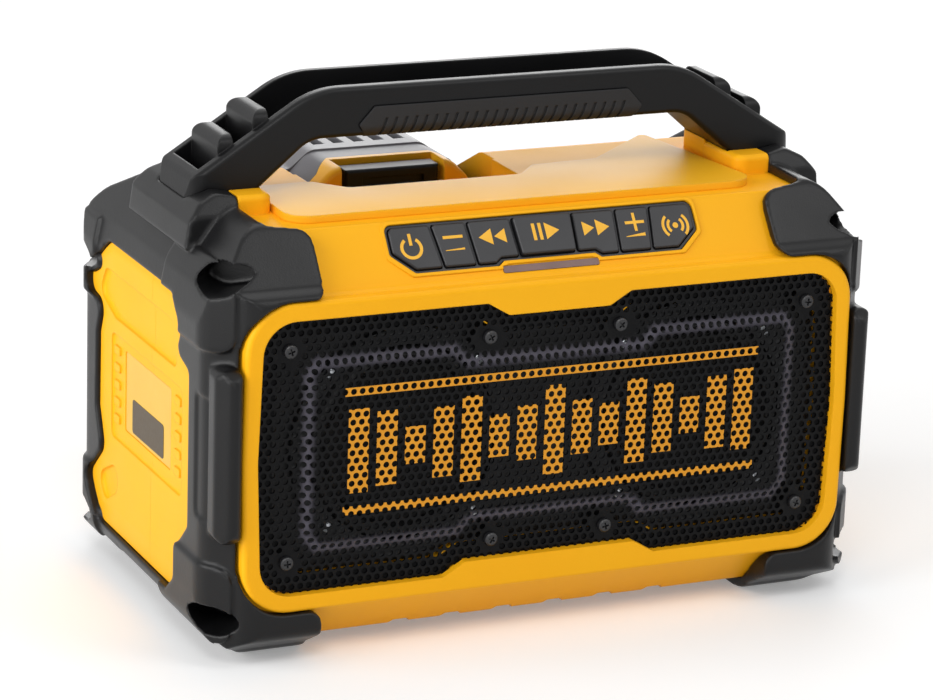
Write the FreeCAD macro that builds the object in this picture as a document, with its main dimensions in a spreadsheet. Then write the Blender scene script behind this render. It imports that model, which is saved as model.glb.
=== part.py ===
import FreeCAD, Part
import math
import os
import Sketcher

# Portable site speaker with a carrying handle and a slide-in battery pack.
# Millimetres. X runs along the case, Y from the grille to the back, Z up.
# The origin lies on the table, under the middle of the case.

Vector = FreeCAD.Vector

# Every size that can be set by itself. Each line is one cell of the sheet.
SIZES = {
    # Case: the two yellow mouldings, without their rubber ends
    "case_half_length": 127.0,
    "case_front": -75.0,
    "case_rear": 76.2,
    "case_bottom": 4.5,
    "case_top": 156.2,
    "case_wall": 3.0,
    "parting": -6.0,
    "slope_rise": 19.2,
    "slope_run": 14.5,
    "ledge_run": 4.5,
    "ledge_rise": 2.2,
    # Ridge round the grille
    "ridge_inset": 6.0,
    "ridge_width": 5.5,
    "ridge_height": 3.0,
    "ridge_back": -68.0,
    "ridge_below_top": 20.2,
    "ridge_above_bottom": 16.5,
    "ridge_corner": 18.0,
    "grille_bow": 1.8,
    "tab_rise": 5.0,
    "upper_tab_half": 20.0,
    "lower_tab_half": 34.0,
    "tab_slant": 8.5,
    # Grille plate
    "grille_step": 6.0,
    "grille_thickness": 1.0,
    "grille_emboss": 2.0,
    "grille_side_margin": 16.5,
    "grille_end_margin": 13.5,
    "grille_slope": 6.0,
    "grille_pitch": 11.0,
    "grille_hole": 7.0,
    "screw_side_inset": 12.6,
    "screw_end_inset": 11.6,
    "screw_upper_x": 26.0,
    "screw_lower_x": 23.0,
    "screw_head_radius": 2.6,
    "screw_head_height": 1.4,
    "screw_shank_radius": 1.4,
    "screw_length": 9.0,
    # Baffle and its two drivers
    "baffle_thickness": 5.0,
    "baffle_front": -69.95,
    "baffle_lap": 2.0,
    "driver_x": 58.0,
    "driver_z": 79.0,
    "driver_radius": 43.0,
    "driver_hole": 38.4,
    "driver_flange": 2.5,
    "driver_screw_ring": 40.6,
    "surround_radius": 36.2,
    "cone_radius": 30.0,
    "cone_depth": 11.0,
    "magnet_radius": 28.0,
    "magnet_depth": 32.0,
    "magnet_height": 12.0,
    "dust_cap_radius": 12.2,
    # Rubber ends
    "bumper_wall": 4.0,
    "bumper_pad": 1.5,
    "tongue_inset": 37.0,
    "tongue_corner": 5.0,
    "block_inset": 20.0,
    "block_front": -36.0,
    "block_rear": 25.0,
    "block_height": 8.8,
    "pad_inset": 3.5,
    "pad_corner": 5.0,
    "lobe_height": 32.0,
    "lobe_lip": 7.5,
    "foot_start": 18.0,
    "foot_end": 42.0,
    "foot_side_inset": 14.0,
    "bar_height": 65.0,
    "bar_lift": 2.7,
    "bar_end_round": 6.0,
    "bar_proud": 1.5,
    "strip_depth": 0.9,
    "strip_width": 10.0,
    "strip_height": 46.0,
    "window_clearance": 0.4,
    "window_front": -48.5,
    "window_below_top": 26.4,
    "window_above_bottom": 12.5,
    # Side panel of the case, which fills the opening of the rubber end
    "panel_proud": 2.2,
    "hollow_depth": 1.3,
    "label_width": 49.0,
    "label_height": 31.0,
    "label_y": 0.0,
    "label_z": 76.0,
    "side_rib_pitch": 6.7,
    "eye_width": 23.0,
    "eye_height": 10.5,
    "eye_tilt": 14.0,
    "eye_inset": 3.0,
    "eye_depth": 14.0,
    "eye_wall": 1.5,
    "eye_below_top": 13.5,
    "eye_rear_below_top": 37.0,
    "eye_above_bottom": 13.6,
    # Handle
    "handle_top": 198.0,
    "handle_height": 18.5,
    "handle_front": -23.0,
    "handle_width": 34.5,
    "handle_bend_x": 74.0,
    "leg_inset": 4.0,
    "leg_base_width": 23.5,
    "leg_corner": 8.0,
    "rail_width": 4.5,
    "channel_depth": 12.0,
    "leg_steps_start": 90.5,
    "leg_step_pitch": 13.2,
    "lug_length": 6.2,
    "lug_rise": 3.0,
    "grip_half_length": 54.0,
    "grip_height": 11.0,
    "grip_wall": 2.0,
    "grip_proud": 0.8,
    "grip_rib_pitch": 4.0,
    # Top tray
    "tray_thickness": 2.8,
    "tray_half_width": 94.0,
    "tray_front": -49.5,
    "tray_rear": -4.5,
    # Control panel on the slope
    "panel_half_width": 61.3,
    "panel_height": 18.9,
    "panel_from_foot": 3.8,
    "panel_depth": 3.0,
    "panel_rim": 1.4,
    "key_gap": 0.3,
    "key_web": 0.6,
    "key_rise": 0.9,
    "key_rise_middle": 1.9,
    "key_travel": 1.0,
    "key_board_depth": 9.5,
    "switch_size": 6.0,
    "outer_switch_u": 52.0,
    "outer_flange_u": 48.5,
    "inner_flange_u": 24.6,
    "lens_half_length": 19.0,
    "lens_height": 2.6,
    "lens_depth": 4.0,
    # Battery pack and its bay
    "pack_x": -25.0,
    "pack_front": 18.0,
    "pack_depth": 61.5,
    "pack_length": 115.0,
    "pack_top": 157.0,
    "rail_case_width": 72.0,
    "rail_case_depth": 26.0,
    "pack_width": 80.0,
    "bay_clearance": 1.0,
    "bay_floor_gap": 0.3,
    "bay_wall": 2.5,
    "rail_depth": 3.0,
    "rail_height": 5.0,
    "shell_wall": 2.5,
    "scoop_drop": 15.0,
    "button_width": 38.0,
    "button_height": 12.5,
    "button_travel": 3.0,
    "terminal_width": 28.0,
    "terminal_depth": 14.0,
    "terminal_height": 11.0,
    "blade_pitch": 8.0,
    "blade_height": 13.0,
    "cell_radius": 9.2,
    "cell_length": 65.0,
    "cell_pitch": 19.0,
    # Sockets behind their flap
    "flap_x": 72.0,
    "flap_z": 58.0,
    "flap_width": 44.0,
    "flap_height": 26.0,
    "flap_thickness": 2.4,
    "flap_pin_radius": 0.7,
    "flap_well": 11.0,
    # Boards and the screws inside
    "board_thickness": 1.6,
    "board_gap": 5.0,
    "board_z": 92.0,
    "board_width": 78.0,
    "board_height": 52.0,
    "sink_width": 28.0,
    "sink_height": 28.0,
    "sink_depth": 13.0,
    "capacitor_radius": 4.0,
    "capacitor_length": 14.0,
    "radio_width": 16.0,
    "radio_height": 20.0,
    "case_screw_x": 80.0,
    "case_screw_length": 30.0,
}

doc = FreeCAD.newDocument("SiteSpeaker")
sheet = doc.addObject("Spreadsheet::Sheet", "Sizes")
for row, (alias, number) in enumerate(SIZES.items(), start=1):
    sheet.set(f"A{row}", alias)
    sheet.set(f"B{row}", str(number))
    sheet.setAlias(f"B{row}", alias)
doc.recompute()

parts = []


def mm(alias):
    """A size, read from the sheet."""
    return float(sheet.get(alias))


def keep(obj, label):
    """Hand in a finished sub-part under its own label."""
    obj.Label = label
    parts.append(obj)
    return obj


# Places that several pieces share, worked out from the sheet

half = mm("case_half_length")
front = mm("case_front")
rear = mm("case_rear")
bottom = mm("case_bottom")
top = mm("case_top")
wall = mm("case_wall")
parting = mm("parting")
pad = mm("bumper_wall") + mm("bumper_pad")

slope_head = Vector(0, front + mm("ledge_run") + mm("slope_run"), top)
slope_foot = Vector(0, front + mm("ledge_run"), top - mm("slope_rise"))
slope_up = (slope_head - slope_foot).normalize()
slope_out = Vector(0, -slope_up.z, slope_up.y)
slope_angle = math.degrees(math.atan2(slope_up.z, slope_up.y))

ridge_half = half - mm("ridge_inset")
ridge_top = top - mm("ridge_below_top")
ridge_bottom = bottom + mm("ridge_above_bottom")
mouth_half = ridge_half - mm("ridge_width")
mouth_top = ridge_top - mm("ridge_width") - 1.0
mouth_bottom = ridge_bottom + mm("ridge_width") + 1.0

bay_left = mm("pack_x") - mm("pack_width") / 2 - mm("bay_clearance")
bay_right = mm("pack_x") + mm("pack_width") / 2 + mm("bay_clearance")
bay_front = mm("pack_front") - mm("bay_clearance")
pack_bottom = mm("pack_top") - mm("pack_length")
bay_floor = pack_bottom - mm("bay_floor_gap")

flap_pin_y = rear - mm("flap_thickness") / 2
flap_pin_z = mm("flap_z") - mm("flap_height") / 2 + 1.6

handle_middle = mm("handle_front") + mm("handle_width") / 2
handle_under = mm("handle_top") - mm("handle_height")
leg_outer = half - mm("leg_inset")
leg_inner = leg_outer - mm("leg_base_width")
block_inner = half - mm("block_inset")
tongue_x = half - mm("tongue_inset")


# Outlines and prisms

def rounded_wire(corners):
    """Closed outline through corners (a, b, radius), each rounded by an arc."""
    spots = []
    count = len(corners)
    for index, (a, b, radius) in enumerate(corners):
        here = Vector(a, b, 0)
        before = Vector(*corners[index - 1][:2], 0)
        after = Vector(*corners[(index + 1) % count][:2], 0)
        back = (before - here).normalize()
        ahead = (after - here).normalize()
        if radius == 0:
            spots.append((here, None, here))
            continue
        half_turn = back.getAngle(ahead) / 2
        run = radius / math.tan(half_turn)
        reach = radius / math.sin(half_turn) - radius
        middle = here + (back + ahead).normalize() * reach
        spots.append((here + back * run, middle, here + ahead * run))
    edges = []
    for index, (start, middle, end) in enumerate(spots):
        if middle is not None:
            edges.append(Part.Arc(start, middle, end).toShape())
        following = spots[(index + 1) % count][0]
        if (following - end).Length > 1e-6:
            edges.append(Part.LineSegment(end, following).toShape())
    return Part.Wire(edges)


def mirrored(corners):
    """The corners of one side, then the same ones on the other side."""
    return corners + [(-a, b, radius) for a, b, radius in reversed(corners)]


TURNS = {
    "top": (FreeCAD.Rotation(), Vector(0, 0, 1)),
    "front": (FreeCAD.Rotation(Vector(1, 0, 0), 90), Vector(0, 1, 0)),
    "side": (FreeCAD.Rotation(Vector(1, 1, 1), 120), Vector(1, 0, 0)),
}


def prism(corners, view, start, end, grow=0.0):
    """An outline drawn in one view and carried from start to end across it."""
    face = Part.Face(rounded_wire(corners))
    if grow:
        face = face.makeOffset2D(grow)
    turn, along = TURNS[view]
    face.Placement = FreeCAD.Placement(along * start, turn)
    return face.extrude(along * (end - start))


def box_corners(u, v, width, height, radius=0):
    """A rectangle round a middle, for a prism."""
    return [
        (u - width / 2, v - height / 2, radius),
        (u + width / 2, v - height / 2, radius),
        (u + width / 2, v + height / 2, radius),
        (u - width / 2, v + height / 2, radius),
    ]


def block(low, high):
    """A box between two corners."""
    size = Vector(*high) - Vector(*low)
    return Part.makeBox(size.x, size.y, size.z, Vector(*low))


def joined(shape, pieces):
    """Fuse pieces on one after the other."""
    for piece in pieces:
        shape = shape.fuse(piece)
    return shape


def both_ends(shape):
    """A shape and its mirror image at the other end of the case."""
    return [shape, shape.mirror(Vector(0, 0, 0), Vector(1, 0, 0))]


def feature(label, shape):
    """A sub-part whose shape comes from the functions of this file."""
    obj = doc.addObject("Part::Feature", label)
    obj.Shape = shape.removeSplitter()
    return keep(obj, label)


# Bodies made of sketches, with every corner bound to the sheet

def new_body(label):
    body = doc.addObject("PartDesign::Body", label)
    return keep(body, label)


def own_plane(body, role):
    return next(item for item in body.Origin.OriginFeatures if item.Role == role)


def sketched(body, role, corners, lift="0 mm"):
    """A closed outline on the body's own plane; corners are expressions."""
    sketch = body.newObject("Sketcher::SketchObject", "Outline")
    sketch.AttachmentSupport = [(own_plane(body, role), "")]
    sketch.MapMode = "FlatFace"
    sketch.setExpression("AttachmentOffset.Base.z", lift)
    count = len(corners)
    guesses = []
    for index in range(count):
        turn = 2 * math.pi * index / count
        guesses.append(Vector(10 * math.cos(turn) + 20, 10 * math.sin(turn) + 20, 0))
    for index in range(count):
        sketch.addGeometry(Part.LineSegment(guesses[index], guesses[(index + 1) % count]))
    for index in range(count):
        sketch.addConstraint(
            Sketcher.Constraint("Coincident", index, 2, (index + 1) % count, 1)
        )
    for index, pair in enumerate(corners):
        for kind, text, guess in zip(
            ("DistanceX", "DistanceY"), pair, (guesses[index].x, guesses[index].y)
        ):
            number = sketch.addConstraint(Sketcher.Constraint(kind, -1, 1, index, 1, guess))
            sketch.setExpression(f"Constraints[{number}]", text)
    return sketch


def padded(body, sketch, length, both_ways=False):
    grown = body.newObject("PartDesign::Pad", "Pad")
    grown.Profile = sketch
    grown.setExpression("Length", length)
    if both_ways:
        grown.Midplane = True
    return grown


def pocketed(body, sketch, length, reverse=False):
    before = body_volume(body)
    cut = body.newObject("PartDesign::Pocket", "Pocket")
    cut.Profile = sketch
    cut.setExpression("Length", length)
    cut.Reversed = reverse
    doc.recompute()
    if body.Shape.Volume > before - 0.01:
        raise ValueError(f"a pocket in {body.Label} cuts nothing")
    return cut


def body_volume(body):
    doc.recompute()
    return body.Shape.Volume


def turned(body, corners):
    """A ring or disc: an outline in the XZ plane, turned about the Z axis."""
    sketch = sketched(body, "XZ_Plane", corners)
    ring = body.newObject("PartDesign::Revolution", "Turning")
    ring.Profile = sketch
    ring.ReferenceAxis = (sketch, ["V_Axis"])
    ring.Angle = 360
    return ring


def place(obj, x="0 mm", y="0 mm", z="0 mm"):
    obj.setExpression("Placement.Base.x", x)
    obj.setExpression("Placement.Base.y", y)
    obj.setExpression("Placement.Base.z", z)


# The case, as three outlines that cross

def side_corners():
    """The case seen from its end: y, z and corner radius."""
    return [
        (front + 15.5, bottom, 6),
        (front, bottom + 16.5, 5),
        (front, slope_foot.z - mm("ledge_rise"), 1.5),
        (slope_foot.y, slope_foot.z, 2),
        (slope_head.y, slope_head.z, 1.5),
        (rear - 47, top, 12),
        (rear - 19, top - 14, 12),
        (rear, top - 34, 8),
        (rear, bottom + 24, 8),
        (rear - 18, bottom, 10),
    ]


def front_corners():
    """The case seen from the grille: x, z and corner radius."""
    return mirrored([
        (half - 14, bottom, 8),
        (half - 0.7, bottom + 10.5, 6),
        (half, bottom + 22, 8),
        (half, top - 30, 8),
        (half - 2.5, top - 17.7, 8),
        (half - 15.5, top, 10),
    ])


def plan_corners():
    """The case seen from above: x, y and corner radius."""
    return mirrored([
        (half - 11, front, 7),
        (half, front + 13, 8),
        (half, rear - 14, 8),
        (half - 11, rear, 7),
    ])


def case_solid(grow=0.0):
    """The whole case, grown or shrunk on every side."""
    reach = half + 40
    across = prism(side_corners(), "side", -reach, reach, grow)
    along = prism(front_corners(), "front", front - 40, rear + 40, grow)
    down = prism(plan_corners(), "top", bottom - 40, top + 40, grow)
    return across.common(along).common(down)


case_outside = case_solid()


def mouth_corners(grow=0.0):
    """The opening in front of the grille, with a tab in each long edge."""
    width = mouth_half + grow
    high = mouth_top + grow
    low = mouth_bottom - grow
    bow = mm("grille_bow")
    radius = max(mm("ridge_corner") - mm("ridge_width") + grow, 2)
    middle = (high + low) / 2
    slant = mm("tab_slant")
    upper = mm("upper_tab_half") - grow * 0.55
    lower = mm("lower_tab_half") - grow * 0.55
    return mirrored([
        (lower, low + mm("tab_rise"), 2),
        (lower + slant, low, 2),
        (width - bow, low, radius),
        (width, middle, 60),
        (width - bow, high, radius),
        (upper + slant, high, 2),
        (upper, high - mm("tab_rise"), 2),
    ])


def ridge_corners():
    """The outer edge of the ridge round the grille."""
    bow = mm("grille_bow") / 2
    radius = mm("ridge_corner")
    middle = (ridge_top + ridge_bottom) / 2
    return mirrored([
        (ridge_half - bow, ridge_bottom, radius),
        (ridge_half, middle, 60),
        (ridge_half - bow, ridge_top, radius),
    ])


def window_corners():
    """The opening in the side of a rubber end: y, z and corner radius."""
    high = top - mm("window_below_top")
    low = bottom + mm("window_above_bottom")
    near = mm("window_front")
    return [
        (near + 16, high, 5),
        (near + 7.5, high - 8.5, 4),
        (near + 13, top - 47, 4),
        (near, top - 51, 3),
        (near, bottom + 43, 4),
        (near + 10.5, bottom + 33, 4),
        (near + 10.5, bottom + 20, 5),
        (near + 20, low, 5),
        (rear - 27, low, 7),
        (rear - 15, bottom + 29, 5),
        (rear - 31, bottom + 43, 6),
        (rear - 25, bottom + 58, 4),
        (rear - 25.5, top - 64, 4),
        (rear - 30.5, top - 52, 5),
        (rear - 15, top - 50, 5),
        (rear - 17, top - 40, 5),
        (rear - 36, high, 6),
    ]


def window_prism(grow=0.0):
    return prism(window_corners(), "side", half - 30, half + 20, grow)


# Eyes for a strap or a hook, one at each corner of each end

def eye_outline():
    """An eye seen along its own axis: a lens with blunt ends."""
    width = mm("eye_width") / 2 + 2
    shoulder = width * 0.45
    height = mm("eye_height") / 2
    return [
        (-width, 0, 2.5),
        (-shoulder, -height, 10),
        (shoulder, -height, 10),
        (width, 0, 2.5),
        (shoulder, height, 10),
        (-shoulder, height, 10),
    ]


def eye_slots(grow):
    """The four eyes at the right-hand end, cut at 45 degrees across the corners."""
    low = bottom + mm("eye_above_bottom")
    spots = [
        (1, front, top - mm("eye_below_top"), mm("eye_tilt")),
        (1, front, low, 0),
        (-1, rear, top - mm("eye_rear_below_top"), 0),
        (-1, rear, low, 0),
    ]
    start = 14
    slots = []
    for side, edge, z, tilt in spots:
        outline = Part.Face(rounded_wire(eye_outline()))
        if grow:
            outline = outline.makeOffset2D(grow)
        outline.rotate(Vector(), Vector(0, 0, 1), tilt)
        slot = outline.extrude(Vector(0, 0, mm("eye_depth") + grow + start))
        inward = Vector(-1, side, 0).normalize()
        across = Vector(side, 1, 0).normalize()
        aim = FreeCAD.Rotation(across, Vector(0, 0, 1), inward, "ZXY")
        mouth = Vector(half - mm("eye_inset"), edge + side * 13, z)
        slot.Placement = FreeCAD.Placement(mouth - inward * start, aim)
        slots.append(slot)
    return slots


eyes = eye_slots(0)
eye_rooms = eye_slots(mm("eye_wall") + 0.3)


# The handle, and the shape that it leaves in what holds it

def handle_corners():
    """The handle seen from the grille."""
    bend = mm("handle_bend_x")
    high = mm("handle_top")
    return mirrored([
        (bend + 1.5, handle_under, 14),
        (leg_inner - 1.7, top + 4.4, 5),
        (leg_inner, top, 0),
        (leg_outer, top, 0),
        (leg_outer - 0.7, top + 4.3, 3),
        (leg_outer - 2.5, top + 12.3, 4),
        (bend, high, 34),
    ])


def handle_solid(grow=0.0, edge_round=0.0):
    """The handle without its channel, its legs rounded where they stand."""
    near = mm("handle_front")
    far = near + mm("handle_width")
    body = prism(handle_corners(), "front", near - grow, far + grow, grow)
    if edge_round:
        edges = [
            edge for edge in body.Edges
            if edge.BoundBox.YLength < 0.01 and edge.BoundBox.ZMax > top + 5
        ]
        body = body.makeFillet(edge_round, edges)
    plan = mirrored([(leg_outer, near, mm("leg_corner")), (leg_outer, far, mm("leg_corner"))])
    return body.common(prism(plan, "top", top - 5, mm("handle_top") + 5, grow))


def handle_bolt_spots():
    middle = mm("handle_front") + mm("handle_width") / 2
    x = (leg_inner + block_inner) / 2
    return [
        (side * x, middle + shift) for side in (-1, 1) for shift in (-9.0, 9.0)
    ]


def uprights(spots, radius, low, high):
    """Round bars along Z at the given x and y."""
    return [
        Part.makeCylinder(radius, high - low, Vector(x, y, low)) for x, y in spots
    ]


def leg_line(x):
    """Height of the leg's sloping upper face at a place along the case."""
    bend = mm("handle_bend_x")
    foot_x = leg_outer - 2.5
    foot_z = top + 12.3
    return mm("handle_top") + (foot_z - mm("handle_top")) * (x - bend) / (foot_x - bend)


def leg_lug(start_x):
    """One rounded step in the hollow of the right leg, steep towards the middle."""
    near = mm("handle_front") + mm("rail_width") - 0.5
    far = mm("handle_front") + mm("handle_width") - mm("rail_width") + 0.5
    end_x = start_x + mm("lug_length")
    high = leg_line(start_x) + mm("lug_rise")
    lug = block((start_x, near, leg_line(end_x) - mm("channel_depth") - 2), (end_x, far, high))
    edges = [edge for edge in lug.Edges if edge.BoundBox.ZMin > high - 0.1
             and edge.BoundBox.XMax > end_x - 0.1]
    return lug.makeFillet(4.5, edges)


def handle_hollow():
    """The channel along the top and the two pockets down each leg."""
    near = mm("handle_front") + mm("rail_width")
    far = mm("handle_front") + mm("handle_width") - mm("rail_width")
    bend = mm("handle_bend_x")
    depth = mm("channel_depth")
    first = mm("leg_steps_start")
    last = first + 2 * mm("leg_step_pitch")
    floor = mirrored([
        (bend - 3, mm("handle_top") - depth, 12),
        (last, leg_line(last) - depth, 0),
        (last, leg_line(last) + 30, 0),
    ])
    hollow = prism(floor, "front", near, far)
    for step in (0, 1):
        x = first + step * mm("leg_step_pitch")
        for wall_block in both_ends(block((x, near, top), (x + mm("lug_length"), far, 250))):
            hollow = hollow.cut(wall_block)
    return hollow


def grip_outline():
    """The grip seen from the grille, with pointed ends: x, z and corner radius."""
    length = mm("grip_half_length")
    low = handle_under - mm("grip_proud")
    return mirrored([
        (length, low, 0.8),
        (length + 3, handle_under + 4.5, 0.8),
        (length - 3, handle_under + mm("grip_height"), 0.8),
    ])


def grip_section(grow=0.0):
    """The grip seen from its end, with a round lower edge on both sides."""
    proud = mm("grip_proud")
    near = mm("handle_front") - proud
    far = mm("handle_front") + mm("handle_width") + proud
    low = handle_under - proud
    high = handle_under + mm("grip_height") + 5
    corners = [(near, low, 5), (far, low, 5), (far, high, 0), (near, high, 0)]
    return prism(corners, "side", -80, 80, grow)


def grip_grooves():
    """Slanting grooves round the lower half of the grip."""
    pitch = mm("grip_rib_pitch")
    low = handle_under - 3
    high = handle_under + 6.5
    count = int((mm("grip_half_length") - 3) / pitch)
    slabs = []
    for step in range(-count, count + 1):
        x = step * pitch
        slabs.append(prism(
            [(x - 2.2, low, 0), (x - 1.0, low, 0), (x + 2.2, high, 0), (x + 1.0, high, 0)],
            "front", -60, 60,
        ))
    return Part.makeCompound(slabs).cut(grip_section(-0.7))


def make_handle():
    whole = handle_solid(edge_round=2.0)
    near = mm("handle_front")
    far = near + mm("handle_width")
    lugs = []
    for step in (0, 1):
        lugs += both_ends(leg_lug(mm("leg_steps_start") + step * mm("leg_step_pitch")))
    shape = joined(whole.cut(handle_hollow()), lugs)
    skin = mm("grip_wall")
    core = block(
        (-90, near + skin, handle_under + skin),
        (90, far - skin, handle_under + mm("grip_height") + 8),
    )
    zone = prism(grip_outline(), "front", near - 5, far + 5)
    sleeve = zone.common(grip_section()).cut(core)
    shape = shape.cut(zone.cut(core))
    bolts = uprights(handle_bolt_spots(), 2.0, top - 1, top + 7.5)
    feature("handle", shape.cut(bolts))
    feature("handle_grip", sleeve.cut(grip_grooves()))


make_handle()
leg_room = handle_solid(0.15).common(
    block((0, -200, top - 1), (half + 20, 200, top + 25))
)


# Front moulding

def leg_bosses(near, far, height, end_y):
    """Cheek beside a handle leg, with a round upright corner at end_y."""
    inner = leg_inner - 6
    cheek = block((inner, near, top - 1), (block_inner, far, top + height))
    corner = [
        edge for edge in cheek.Edges
        if edge.BoundBox.XMax < inner + 0.1 and abs(edge.BoundBox.YMin - end_y) < 0.1
        and edge.BoundBox.YLength < 0.1
        and edge.BoundBox.ZLength > 1
    ]
    cheek = cheek.makeFillet(4.5, corner)
    edges = [
        edge for edge in cheek.Edges
        if edge.BoundBox.ZMin > top + height - 0.01
        and edge.BoundBox.XMin < block_inner - 0.01
    ]
    return cheek.makeFillet(2.2, edges).cut(leg_room)


def slope_prism(corners, depth, rise):
    """A prism square to the control slope; corners in the slope's own u and v."""
    face = Part.Face(rounded_wire(corners))
    turn = FreeCAD.Rotation(Vector(1, 0, 0), slope_angle)
    face.Placement = FreeCAD.Placement(slope_foot - slope_out * depth, turn)
    return face.extrude(slope_out * (depth + rise))


def panel_corners(grow=0.0):
    """The control panel's outline on the slope, with the notch over the lens."""
    width = mm("panel_half_width") + grow
    low = mm("panel_from_foot") - grow
    high = mm("panel_from_foot") + mm("panel_height") + grow
    notch = mm("lens_half_length")
    return mirrored([
        (notch - 0.8 - grow, low + 1.8, 0.5),
        (notch + 1.6 - grow, low, 0.5),
        (width - 8.5, low, 2),
        (width, low + 7.5, 2),
        (width, high, 3),
    ])


def lens_corners(grow=0.0):
    long = mm("lens_half_length") + grow
    low = mm("panel_from_foot") - 1.2 - mm("lens_height") + 1.0 - grow
    high = low + mm("lens_height") + 2 * grow
    return mirrored([(long, low, 0.8), (long, high, 0.8)])


def bottom_grooves():
    """Grooves across the underside, between the lobes at the front edge."""
    pitch = 20.8
    tools = []
    for step in (-2.5, -1.5, -0.5, 0.5, 1.5, 2.5):
        x = step * pitch
        tools.append(prism(
            [
                (x - 5.5, bottom - 1, 0),
                (x - 3.0, bottom + 2.4, 1),
                (x + 3.0, bottom + 2.4, 1),
                (x + 5.5, bottom - 1, 0),
            ],
            "front", front - 5, front + 45,
        ))
    return tools


def side_hollow(corners, depth, soft):
    """A hollow in the right-hand side panel, with a rounded floor edge."""
    face = half + mm("panel_proud")
    tool = prism(corners, "side", face - depth, face + 5)
    edges = [edge for edge in tool.Edges if edge.BoundBox.XMax < face - depth + 0.01]
    return tool.makeFillet(soft, edges)


def side_hollows():
    """The finger scoop, the label's frame with its ribs, and the dish below."""
    depth = mm("hollow_depth")
    middle = mm("label_y")
    across = mm("label_width") / 2
    low = mm("label_z") - mm("label_height") / 2
    high = mm("label_z") + mm("label_height") / 2
    scoop = side_hollow(
        [
            (middle - 28, high + 27, 4),
            (middle - 33, high + 10, 3),
            (middle + 34, high + 10, 5),
            (middle + 52, high + 16, 4),
            (middle + 45, high + 27, 5),
        ],
        depth, 1.2,
    )
    frame = side_hollow(
        [
            (middle - across - 13.5, low - 6, 3),
            (middle + across + 13.5, low - 6, 3),
            (middle + across + 13.5, high + 4, 3),
            (middle - across - 13.5, high + 4, 3),
        ],
        depth * 0.6, 0.6,
    )
    label = side_hollow(box_corners(middle, mm("label_z"), 2 * across, high - low, 1), depth, 0.3)
    dish = side_hollow(
        [
            (middle + 32, low - 15, 5),
            (middle + 30, low - 26, 6),
            (middle + 44, low - 34, 5),
            (middle + 54, low - 26, 5),
        ],
        depth, 1.2,
    )
    ribs = []
    pitch = mm("side_rib_pitch")
    for side in (-1, 1):
        for step in range(-2, 3):
            z = mm("label_z") + step * pitch
            y = middle + side * (across + 8)
            ribs.append(prism(
                [(y - 3, z - 1.6, 0.8), (y + 3, z - 1.6, 0.8), (y + 3, z + 1.6, 0.8), (y - 3, z + 1.6, 0.8)],
                "side", half - 5, half + mm("panel_proud") - 0.1,
            ))
    hollows = scoop.fuse([frame.cut(ribs), label, dish])
    return hollows


def make_case_shell():
    """The yellow skin as one piece, before it is parted and opened."""
    panel = case_solid(mm("panel_proud")).common(window_prism(-mm("window_clearance")))
    skin = joined(case_solid(), both_ends(panel.cut(side_hollows())))
    void = case_solid(-wall)
    for pocket in eye_slots(mm("eye_wall") + 2.8):
        for lump in both_ends(pocket):
            void = void.cut(lump)
    return skin.cut(void)


case_shell = make_case_shell()
front_part = block((-300, -300, -100), (300, parting, 400))
rear_part = block((-300, parting, -100), (300, 300, 400))


def case_screw_spots():
    """Where the screws that join the two mouldings stand: x, z."""
    x = mm("case_screw_x")
    high = top - 6.0
    low = bottom + 6.0
    return [(-x, high), (x, high), (-x, low), (x, low)]


def rods(spots, radius, start, end):
    """Round bars along Y at the given x and z."""
    along = Vector(0, 1, 0)
    return [
        Part.makeCylinder(radius, end - start, Vector(x, start, z), along)
        for x, z in spots
    ]


def scoop_tool(grow=0.0):
    """The finger hollow in the deck, in front of the battery button."""
    near = mm("tray_front") + 33.5
    return prism(
        [
            (near - grow, top + 20, 0),
            (near - grow, top - 3 - grow, 0),
            (bay_front + 1, top - mm("scoop_drop") - grow, 0),
            (bay_front + 1, top + 20, 0),
        ],
        "side", bay_left + 1 - grow, bay_right - 1 + grow,
    )


def grille_spots():
    """Screws of the grille: four in the corners, four along the middle."""
    x = mouth_half - mm("screw_side_inset")
    high = mouth_top - mm("screw_end_inset")
    low = mouth_bottom + mm("screw_end_inset")
    pairs = [(x, high), (x, low), (mm("screw_upper_x"), high - 1.8), (mm("screw_lower_x"), low)]
    return [(side * a, b) for a, b in pairs for side in (-1, 1)]


def slope_solid(corners, depth, bottom_depth):
    """A prism square to the slope, from one depth down to another."""
    face = Part.Face(rounded_wire(corners))
    turn = FreeCAD.Rotation(Vector(1, 0, 0), slope_angle)
    face.Placement = FreeCAD.Placement(slope_foot - slope_out * bottom_depth, turn)
    return face.extrude(slope_out * (bottom_depth - depth))


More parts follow.
